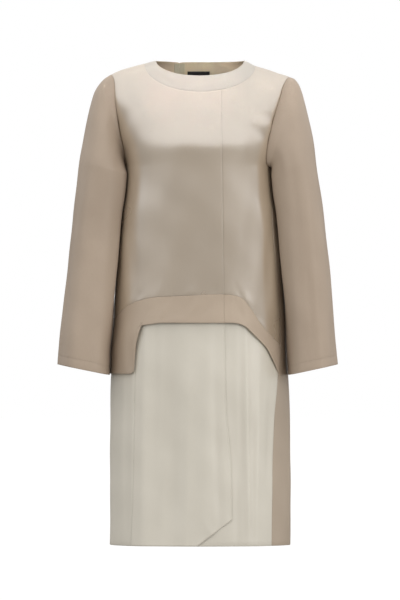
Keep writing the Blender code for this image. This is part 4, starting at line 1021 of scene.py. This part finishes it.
def sleeveSurface(side):
    hole, ringCount = armholes[side], len(sleeve["rings"])
    sign, half = hole["sign"], sleeve["turns"] // 2
    turns = np.linspace(0, 360, sleeve["turns"] + 1)[:-1]
    edge = armhole(side, np.where(turns <= 180, turns, turns - 360))
    ring0 = worn(edge[:, 0], edge[:, 1])
    tip, underarm = ring0[0], ring0[half]
    cap, last = sleeve["capRings"], ringCount
    s = np.concatenate([np.linspace(0, 1, 14)[:-1] ** 1.4, np.linspace(1, cap, sleeve["capRows"])[:-1],
                        np.linspace(cap, last, sleeve["armRows"])])
    cuff = last - np.array((0.0005, 0.0014, 0.0180, 0.0193, 0.0206)) / 0.088
    s = np.unique(np.concatenate([s, cuff]))
    first = (abs(tip[0]), abs(tip[0]), tip[2], underarm[2], hole["halfDepth"])
    table = np.column_stack([np.arange(ringCount + 1), np.vstack([first, sleeve["rings"]])])
    outerX = along(table, s, 1 if side == "right" else 2)
    outerZ, innerZ, halfDepth = along(table, s, 3), along(table, s, 4), along(table, s, 5)
    share = (cut["underarm"] - innerZ) / (cut["underarm"] - sleeve["rings"][-1, 3])
    middleY = hole["sleeveY"] + (hole["cuffY"] - hole["sleeveY"]) * smooth(share)
    fan = np.minimum(s / cap, 1)
    outer = np.stack([sign * outerX, tip[1] + (middleY - tip[1]) * fan, outerZ], -1)
    innerY = underarm[1] + (middleY - underarm[1]) * fan
    innerX = beside(sign, innerY, innerZ)
    innerX = underarm[0] + (innerX - underarm[0]) * smooth(s)
    inner = np.stack([innerX, innerY, innerZ], -1)

    def oval(outer, inner, depth, ridge, lean):
        swing = np.radians(turns)[None]
        middle = ((outer + inner) / 2)[:, None]
        point = middle + (outer[:, None] - middle) * np.cos(swing)[..., None]
        point[..., 1] -= depth[:, None] * np.sin(swing)
        towards = np.sin(math.pi * np.clip((turns - 90) / 90, 0, 1) ** 1.7) ** 2
        point[..., 0] -= sign * lean[:, None] * towards
        wave = ridge[:, None] * np.cos(sleeve["folds"] * swing + sleeve["foldTurn"])
        return point + unit(point - middle) * wave[..., None]

    start = oval(tip[None], underarm[None], np.array([hole["halfDepth"]]), np.zeros(1), np.zeros(1))
    lean = sleeve["lean"] * fan * (1 - smooth((share - sleeve["leanFrom"]) / sleeve["leanOver"]))
    points = oval(outer, inner, halfDepth, sleeve["fold"] * smooth(share), lean)
    points += (ring0[None] - start) * ((1 - fan) ** 2)[:, None, None]
    return points, turns


def makeSleeve(side, seed):
    points, turns = sleeveSurface(side)
    normals = gridNormals(points, tube=True)
    if side == "left":
        normals = -normals
    middle = points.mean(axis=1, keepdims=True)
    if ((points - middle) * normals).sum() < 0:
        normals = -normals
    step = np.linalg.norm(np.diff(points, axis=0), axis=-1)
    top = np.concatenate([np.zeros((1, len(turns))), np.cumsum(step, 0)])
    bottom = top[-1:] - top
    round_ = np.linalg.norm(np.roll(points, -1, 1) - points, axis=-1).cumsum(1)
    armhole_ = edgeKinds["armhole"]
    lift = puckers(round_, seed) * armhole_["pucker"] * np.exp(-top / armhole_["reach"])
    lift -= cloth["seamDip"] * np.exp(-((top / cloth["seamWidth"]) ** 2))
    line = np.exp(-(((bottom - 0.0193) / 0.0010) ** 2))
    lift += puckers(round_, seed + 3) * 0.0006 * np.exp(-(((bottom - 0.0193) / 0.011) ** 2)) - 0.0003 * line
    free = smooth(top / 0.05)
    for turn, z, drift, length, width, deep in sleeve["creases"][side]:
        ahead = points[..., 2] - z
        away = (turns[None] - turn - drift * ahead + 180) % 360 - 180
        lift += free * deep * np.exp(-((ahead / length) ** 2) - (away / width) ** 2)
    lift += driftHeight(points) * free
    near = np.cos(np.radians(turns))[None]  # the side next to the body stays flat and clear
    lift = lift * (1 - smooth((-near - 0.3) / 0.5) * free)
    # painted shade along the armhole seam and the cuff's stitched line
    shade = np.maximum(np.exp(-((top / 0.0013) ** 2)), 0.6 * line)
    wall = cloth["wall"] + cloth["turnUpWall"] * smooth((cloth["turnUp"] - bottom) / 0.0012)
    drawn = cloth["edgeRound"] * (1 - smooth(bottom / 0.0012))
    outer = points + normals * (lift - drawn)[..., None]
    inner = points + normals * (lift - wall + drawn)[..., None]
    name = "sleeve" + side.capitalize()
    finish = satins["quiet"]
    pieces[name] = addShell(name, outer, inner, finish["face"], finish["reverse"], shade, True)
    outerGrids[name] = (outer, normals)


makeSleeve("right", 2.0)
makeSleeve("left", 5.0)
print("sleeves set in")

# Zip: tapes and coil inside the top of the back seam, with the slider and pull from the frame.
zipper = {
    "length": 0.200, "tapeWidth": 0.011, "tapeWall": 0.0009, "gap": 0.0005,
    "toothPitch": 0.00125, "toothLength": 0.0030, "toothRadius": 0.00034, "toothIn": 0.0030,
}
tapeCloth = makeCloth("zipTape", (0.40, 0.345, 0.265), (0.47, 0.41, 0.325), (0.2, 0.16, 0.12), 0.62,
                      bump=0.00015, gloss=0.3, size=0.6)
toothPlastic = makeCloth("zipCoil", (0.30, 0.255, 0.20), (0.36, 0.31, 0.245), (0.2, 0.16, 0.12), 0.42,
                         bump=0.00003, gloss=0.5)


def makeTape(name, side):
    top = neckEdge(cut["backSeam"], cut["backSeam"] + 1e-6, 1, back=True)[0, 1]
    z = top - 0.0006 - (zipper["length"] - 0.0006) * np.linspace(0, 1, 110) ** 1.6
    x = cut["backSeam"] + side * (0.00025 + (zipper["tapeWidth"] - 0.00025) * np.linspace(0, 1, 10))
    if side < 0:
        x = x[::-1]
    grid = place(x[None, ::-1] + 0 * z[:, None], z[:, None] + 0 * x[None], back=True)
    points = worn(grid[..., 0], grid[..., 1], -0.0013 - zipper["gap"])
    normals = gridNormals(points)
    ribs = 0.00012 * np.cos(np.linspace(0, 6 * math.pi, points.shape[1]))[None]
    wave = 0.00015 * np.sin(points[..., 2] / 0.021 * 6.283 + side)
    outer = points + normals * (ribs + wave)[..., None]
    inner = points + normals * (ribs + wave - zipper["tapeWall"])[..., None]
    shade = np.zeros(points.shape[:2])
    pieces[name] = addShell(name, outer, inner, tapeCloth, tapeCloth, shade)


def spindles(name, middles, directions, ups, length, radius, material):
    rings, sides = ((-0.5, 0.25), (-0.3, 1.0), (0.3, 1.0), (0.5, 0.25)), 6
    overs = np.cross(directions, ups)
    turn = np.linspace(0, 2 * math.pi, sides + 1)[:-1]
    points = []
    for share, thick in rings:
        ring = (middles + directions * length * share)[:, None] + thick * radius * (
            ups[:, None] * np.cos(turn)[None, :, None] + overs[:, None] * np.sin(turn)[None, :, None])
        points.append(ring)
    points = np.stack(points, 1).reshape(-1, 3)
    index = np.arange(len(points)).reshape(len(middles), len(rings), sides)
    ahead = np.roll(index, -1, 2)
    quads = np.stack([index[:, :-1], ahead[:, :-1], ahead[:, 1:], index[:, 1:]], -1).reshape(-1, 4)
    caps = [index[:, 0, ::-1], index[:, -1]]
    mesh = bpy.data.meshes.new(name)
    mesh.from_pydata(points.tolist(), [], quads.tolist() + [c for cap in caps for c in cap.tolist()])
    mesh.materials.append(material)
    mesh.shade_smooth()
    piece = bpy.data.objects.new(name, mesh)
    bpy.context.collection.objects.link(piece)
    pieces[name] = piece
    return piece


def makeCoil():
    top = neckEdge(cut["backSeam"], cut["backSeam"] + 1e-6, 1, back=True)[0, 1] - 0.010
    z = np.arange(top, top - zipper["length"] + 0.016, -zipper["toothPitch"])
    spot = place(cut["backSeam"], z, back=True)
    middles = worn(spot[:, 0], spot[:, 1], -zipper["toothIn"])
    directions = unit(worn(spot[:, 0] + 0.5, spot[:, 1]) - worn(spot[:, 0] - 0.5, spot[:, 1]))
    ups = outward(spot[:, 0], spot[:, 1])
    tilt = np.where(np.arange(len(z)) % 2 == 0, 0.18, -0.18)[:, None]
    directions = unit(directions + tilt * np.cross(directions, ups))
    spindles("zipTeeth", middles, directions, ups, zipper["toothLength"], zipper["toothRadius"], toothPlastic)


makeTape("zipTapeMain", 1)
makeTape("zipTapeSide", -1)
makeCoil()
print("zip set in")

# Plain woven label inside the back of the neck.
label = {"x": (-0.027, 0.021), "z": (-0.0195, -0.0385), "wall": 0.0008, "gap": 0.0008, "bow": 0.0004,
         "clothWall": 0.0015, "ripple": 170,
         "held": (0.05, 0.0005), "fold": (0.02, 0.0004)}  # share of the length from an end, height
labelCloth = makeCloth("labelCloth", (0.006, 0.006, 0.007), (0.014, 0.014, 0.015),
                       (0.002, 0.002, 0.002), 0.55, bump=0.00015, gloss=0.4, size=0.5)


def makeLabel():
    x, z = np.linspace(label["x"][1], label["x"][0], 49), np.linspace(*label["z"], 22)
    grid = place(x[None] + 0 * z[:, None], z[:, None] + 0 * x[None], back=True)
    points = worn(grid[..., 0], grid[..., 1], -label["clothWall"] - label["gap"])
    normals = gridNormals(points)
    t = np.linspace(0, 1, len(x))[None]
    end = np.minimum(t, 1 - t)
    (heldShare, heldLift), (foldShare, foldLift) = label["held"], label["fold"]
    held = np.exp(-((end / heldShare) ** 2))  # sewn down at its two ends
    lift = heldLift * held - label["bow"] * np.sin(math.pi * t) * np.cos(points[..., 2] * label["ripple"])
    fold = foldLift * np.exp(-((end - foldShare) / foldShare) ** 2)
    outer = points + normals * lift[..., None]
    inner = outer - normals * (label["wall"] + fold)[..., None]
    outerGrids["neckLabel"] = (inner, -normals)
    unmarked = np.zeros(points.shape[:2])
    pieces["neckLabel"] = addShell("neckLabel", outer, inner, labelCloth, labelCloth, unmarked)


makeLabel()
print("label sewn in")

# Machine stitching, one small thread for each stitch.
stitching = {"length": 0.0026, "pitch": 0.0031, "radius": 0.00017, "proud": 0.00002}
taupeThread = makeCloth("taupeThread", (0.33, 0.275, 0.215), (0.40, 0.335, 0.265), (0.2, 0.16, 0.12), 0.5,
                        bump=0.00002, gloss=0.5)
creamThread = makeCloth("creamThread", (0.47, 0.42, 0.35), (0.53, 0.48, 0.405), (0.3, 0.26, 0.2), 0.5,
                        bump=0.00002, gloss=0.5)


def stitchRow(name, source, away, material, edge="bottom", tube=False):
    outer, normals = outerGrids[source]
    if edge == "left":
        outer, normals = outer.transpose(1, 0, 2), normals.transpose(1, 0, 2)
    step = np.linalg.norm(np.diff(outer, axis=0), axis=-1)
    top = np.concatenate([np.zeros((1, outer.shape[1])), np.cumsum(step, 0)])
    bottom = top[-1:] - top
    path, ups = [], []
    for j in range(outer.shape[1]):
        d = bottom[::-1, j]
        path.append([np.interp(away, d, outer[::-1, j, k]) for k in range(3)])
        ups.append([np.interp(away, d, normals[::-1, j, k]) for k in range(3)])
    line = np.column_stack([np.array(path), np.array(ups)])
    if tube:
        line = np.vstack([line, line[:1]])
    lengths = np.concatenate([[0], np.cumsum(np.linalg.norm(np.diff(line[:, :3], axis=0), axis=1))])
    at = np.arange(stitching["pitch"], lengths[-1] - stitching["pitch"] * 0.5, stitching["pitch"])
    spot = np.stack([np.interp(at, lengths, line[:, k]) for k in range(6)], -1)
    ahead = np.stack([np.interp(at + 0.0005, lengths, line[:, k]) for k in range(3)], -1)
    up = unit(spot[:, 3:])
    direction = unit(ahead - spot[:, :3])
    up = unit(up - direction * (up * direction).sum(-1, keepdims=True))
    middles = spot[:, :3] + up * stitching["proud"]
    return spindles(name, middles, direction, up, stitching["length"], stitching["radius"], material)


threadRows = {
    "cuffStitchesRight": ("sleeveRight", 0.0193, taupeThread, "bottom", True),
    "cuffStitchesLeft": ("sleeveLeft", 0.0193, taupeThread, "bottom", True),
    "bandStitchesMain": ("hemBandMain", 0.0024, taupeThread, "bottom", False),
    "bandStitchesSide": ("hemBandSide", 0.0024, taupeThread, "bottom", False),
    "slantStitches": ("skirtFrontOver", 0.0024, creamThread, "bottom", False),
    "wrapStitches": ("skirtFrontOver", 0.0024, creamThread, "left", False),
}
for name, (source, away, thread, edge, tube) in threadRows.items():
    stitchRow(name, source, away, thread, edge, tube)
blackThread = makeCloth("blackThread", (0.01, 0.01, 0.01), (0.02, 0.02, 0.02), (0.0, 0.0, 0.0), 0.5,
                        bump=0.00002)
stitchRow("labelStitches", "neckLabel", 0.0012, blackThread, "left")
print("stitched:", len(threadRows) + 1, "rows")

# Small metal of the zip, enamelled in the cloth's colour.
enamel = {"colour": (0.40, 0.345, 0.28), "worn": (0.52, 0.46, 0.39), "roughness": (0.24, 0.40),
          "speck": 900.0, "bump": 0.00003, "metallic": 0.6}


def makeEnamel():
    material = bpy.data.materials.new("zipEnamel")
    material.use_nodes = True
    tree = material.node_tree
    shader = tree.nodes["Principled BSDF"]
    where = addNode(tree, "ShaderNodeTexCoord", (-900, 0))
    speck = addNode(tree, "ShaderNodeTexNoise", (-700, 0), {"Scale": enamel["speck"], "Detail": 3.0})
    colour = addNode(tree, "ShaderNodeMix", (-450, 100),
                     {"A": (*enamel["colour"], 1), "B": (*enamel["worn"], 1)}, data_type="RGBA")
    least, most = enamel["roughness"]
    dull = addNode(tree, "ShaderNodeMapRange", (-450, -150), {"To Min": least, "To Max": most})
    relief = addNode(tree, "ShaderNodeBump", (-450, -350), {"Distance": enamel["bump"]})
    link = tree.links.new
    link(where.outputs["Object"], speck.inputs["Vector"])
    link(speck.outputs["Fac"], colour.inputs["Factor"])
    link(colour.outputs["Result"], shader.inputs["Base Color"])
    link(speck.outputs["Fac"], dull.inputs["Value"])
    link(dull.outputs["Result"], shader.inputs["Roughness"])
    link(speck.outputs["Fac"], relief.inputs["Height"])
    link(relief.outputs["Normal"], shader.inputs["Normal"])
    setInputs(shader, {"Metallic": enamel["metallic"]})
    return material


zipEnamel = makeEnamel()
for node in ("zip_slider", "zip_pull"):
    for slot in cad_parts[node].material_slots:
        slot.material = zipEnamel

# Which piece stands for which solid, its finish, and the size its cloth was cut to.
sewing = {
    "bodiceFrontMain": ("bodice_front_main", "taupe_satin", (0.27, 0.56), 0.132, ()),
    "bodiceFrontSide": ("bodice_front_side", "taupe_satin", (0.17, 0.60), 0.068, ()),
    "hemBandMain": ("hem_band_main", "taupe_satin", (0.29, 0.17), 0.028, ("bandStitchesMain",)),
    "hemBandSide": ("hem_band_side", "taupe_satin", (0.15, 0.17), 0.0078, ("bandStitchesSide",)),
    "backMain": ("back_main", "taupe_satin", (0.36, 1.06), 0.336, ()),
    "backSide": ("back_side", "taupe_satin", (0.22, 1.06), 0.179, ()),
    "neckbandFront": ("neckband_front", "taupe_satin", (0.24, 0.075), 0.0116, ()),
    "neckbandBackMain": ("neckband_back_main", "taupe_satin", (0.17, 0.050), 0.0061, ()),
    "neckbandBackSide": ("neckband_back_side", "taupe_satin", (0.09, 0.050), 0.0030, ()),
    "skirtSide": ("skirt_side", "cream_satin", (0.125, 0.54), 0.0600, ()),
    "skirtFrontOver": ("skirt_front_over", "cream_satin", (0.22, 0.55), 0.105,
                       ("wrapStitches", "slantStitches")),
    "skirtFrontUnder": ("skirt_front_under", "cream_satin", (0.22, 0.55), 0.106, ()),
    "sleeveRight": ("sleeve_right", "taupe_satin", (0.40, 0.64), 0.196, ("cuffStitchesRight",)),
    "sleeveLeft": ("sleeve_left", "taupe_satin", (0.40, 0.64), 0.191, ("cuffStitchesLeft",)),
    "zipTapeMain": ("zip_tape_main", "zip_tape", (0.012, 0.205), None, ("zipTeeth",)),
    "zipTapeSide": ("zip_tape_side", "zip_tape", (0.012, 0.205), None, ()),
    "neckLabel": ("label", "label_cloth", (0.050, 0.020), None, ("labelStitches",)),
}
for name, (node, slot, flat, area, carried) in sewing.items():
    piece = pieces[name]
    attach(piece, "garment")
    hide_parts(node)
    for extra in carried:
        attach(pieces[extra], "garment")

# Pale floor, soft light from above and in front, and a long lens level with the middle.
studio = {
    "floorZ": -1.30, "floorSize": 60.0, "floorColour": (0.22, 0.216, 0.208), "floorGlow": 0.75,
    "upper": 1.22, "lower": 0.22, "horizon": (0.17, 0.27), "sideways": 0.12,
    "distance": 14.0, "lookZ": -0.505, "height": 1.26, "nearer": 0.06, "sensor": 24.0,
}


def makeFloor():
    half = studio["floorSize"] / 2
    corners = np.array(((-half, -half), (half, -half), (half, half), (-half, half)))
    points = np.column_stack([corners, np.full(4, studio["floorZ"])])
    material = bpy.data.materials.new("paleFloor")
    material.use_nodes = True
    shader = material.node_tree.nodes["Principled BSDF"]
    setInputs(shader, {"Base Color": (*studio["floorColour"], 1), "Roughness": 0.9,
                       "Specular IOR Level": 0.1, "Emission Color": (1, 1, 1, 1)})
    path = addNode(material.node_tree, "ShaderNodeLightPath", (-400, 0))
    glow = addNode(material.node_tree, "ShaderNodeMath", (-200, 0), {1: studio["floorGlow"]},
                   operation="MULTIPLY")
    material.node_tree.links.new(path.outputs["Is Camera Ray"], glow.inputs[0])
    material.node_tree.links.new(glow.outputs[0], shader.inputs["Emission Strength"])
    floor = addMesh("floor", points, np.array([(0, 1, 2, 3)]), (material,))


def makeSurround():
    world = bpy.data.worlds.new("studio")
    bpy.context.scene.world = world
    world.use_nodes = True
    tree = world.node_tree
    tree.nodes.clear()
    light = addNode(tree, "ShaderNodeBackground", (-200, 100), {"Color": (1, 0.995, 0.985, 1)})
    seen = addNode(tree, "ShaderNodeBackground", (-200, -100), {"Color": (1, 1, 1, 1)})
    path = addNode(tree, "ShaderNodeLightPath", (-400, 300))
    mix = addNode(tree, "ShaderNodeMixShader", (0, 0))
    result = addNode(tree, "ShaderNodeOutputWorld", (200, 0))
    where = addNode(tree, "ShaderNodeTexCoord", (-800, 100))
    split = addNode(tree, "ShaderNodeSeparateXYZ", (-600, 100))
    least, most = studio["horizon"]
    height = addNode(tree, "ShaderNodeMapRange", (-400, 100), {
        "From Min": least, "From Max": most, "To Min": studio["lower"], "To Max": studio["upper"]},
        interpolation_type="SMOOTHSTEP")
    aside = addNode(tree, "ShaderNodeMath", (-600, 300), operation="ABSOLUTE")
    raised = addNode(tree, "ShaderNodeMath", (-500, -50), {1: studio["sideways"]}, operation="MULTIPLY_ADD")
    for start, end in (
        (where.outputs["Generated"], split.inputs[0]), (split.outputs["X"], aside.inputs[0]),
        (aside.outputs[0], raised.inputs[0]), (split.outputs["Z"], raised.inputs[2]),
        (raised.outputs[0], height.inputs["Value"]), (height.outputs["Result"], light.inputs["Strength"]),
        (path.outputs["Is Camera Ray"], mix.inputs[0]), (light.outputs[0], mix.inputs[1]),
        (seen.outputs[0], mix.inputs[2]), (mix.outputs[0], result.inputs["Surface"]),
    ):
        tree.links.new(start, end)


lamps = {  # place, what it faces, width and height, power, spread in degrees, colour
    "frontLeft": ((3.0, -3.5, 0.1), (0.0, 0.0, -0.5), (2.0, 2.0), 82.0, 180, (1.0, 0.995, 0.985)),
    "frontRight": ((-3.0, -3.5, 0.1), (0.0, 0.0, -0.5), (2.0, 2.0), 29.0, 180, (1.0, 0.995, 0.985)),
    "collar": ((0.0, -4.0, 0.75), (0.0, 0.05, 0.005), (0.16, 0.12), 0.20, 6, (1.0, 0.985, 0.96)),
}


def makeLamps():
    for name, (spot, facing, size, power, spread, colour) in lamps.items():
        data = bpy.data.lights.new(name, "AREA")
        data.shape = "RECTANGLE"
        data.size, data.size_y = size
        data.energy = power
        data.spread = math.radians(spread)
        data.color = colour
        lamp = bpy.data.objects.new(name, data)
        direction = np.array(facing) - np.array(spot)
        lamp.location = spot
        lamp.rotation_euler = (math.atan2(math.hypot(*direction[:2]), -direction[2]), 0,
                               math.atan2(direction[1], direction[0]) - math.pi / 2)
        lamp.visible_camera = lamp.visible_glossy = False
        bpy.context.collection.objects.link(lamp)


def makeCamera():
    data = bpy.data.cameras.new("camera")
    data.sensor_fit = "VERTICAL"
    data.sensor_height = studio["sensor"]
    data.lens = studio["sensor"] * (studio["distance"] - studio["nearer"]) / studio["height"]
    data.clip_end = 100.0
    camera = bpy.data.objects.new("camera", data)
    camera.location = (0, -studio["distance"], studio["lookZ"])
    camera.rotation_euler = (math.pi / 2, 0, 0)
    bpy.context.collection.objects.link(camera)
    bpy.context.scene.camera = camera


makeFloor()
makeSurround()
makeLamps()
makeCamera()
bpy.context.scene.view_settings.view_transform = "Standard"
print("studio lit")
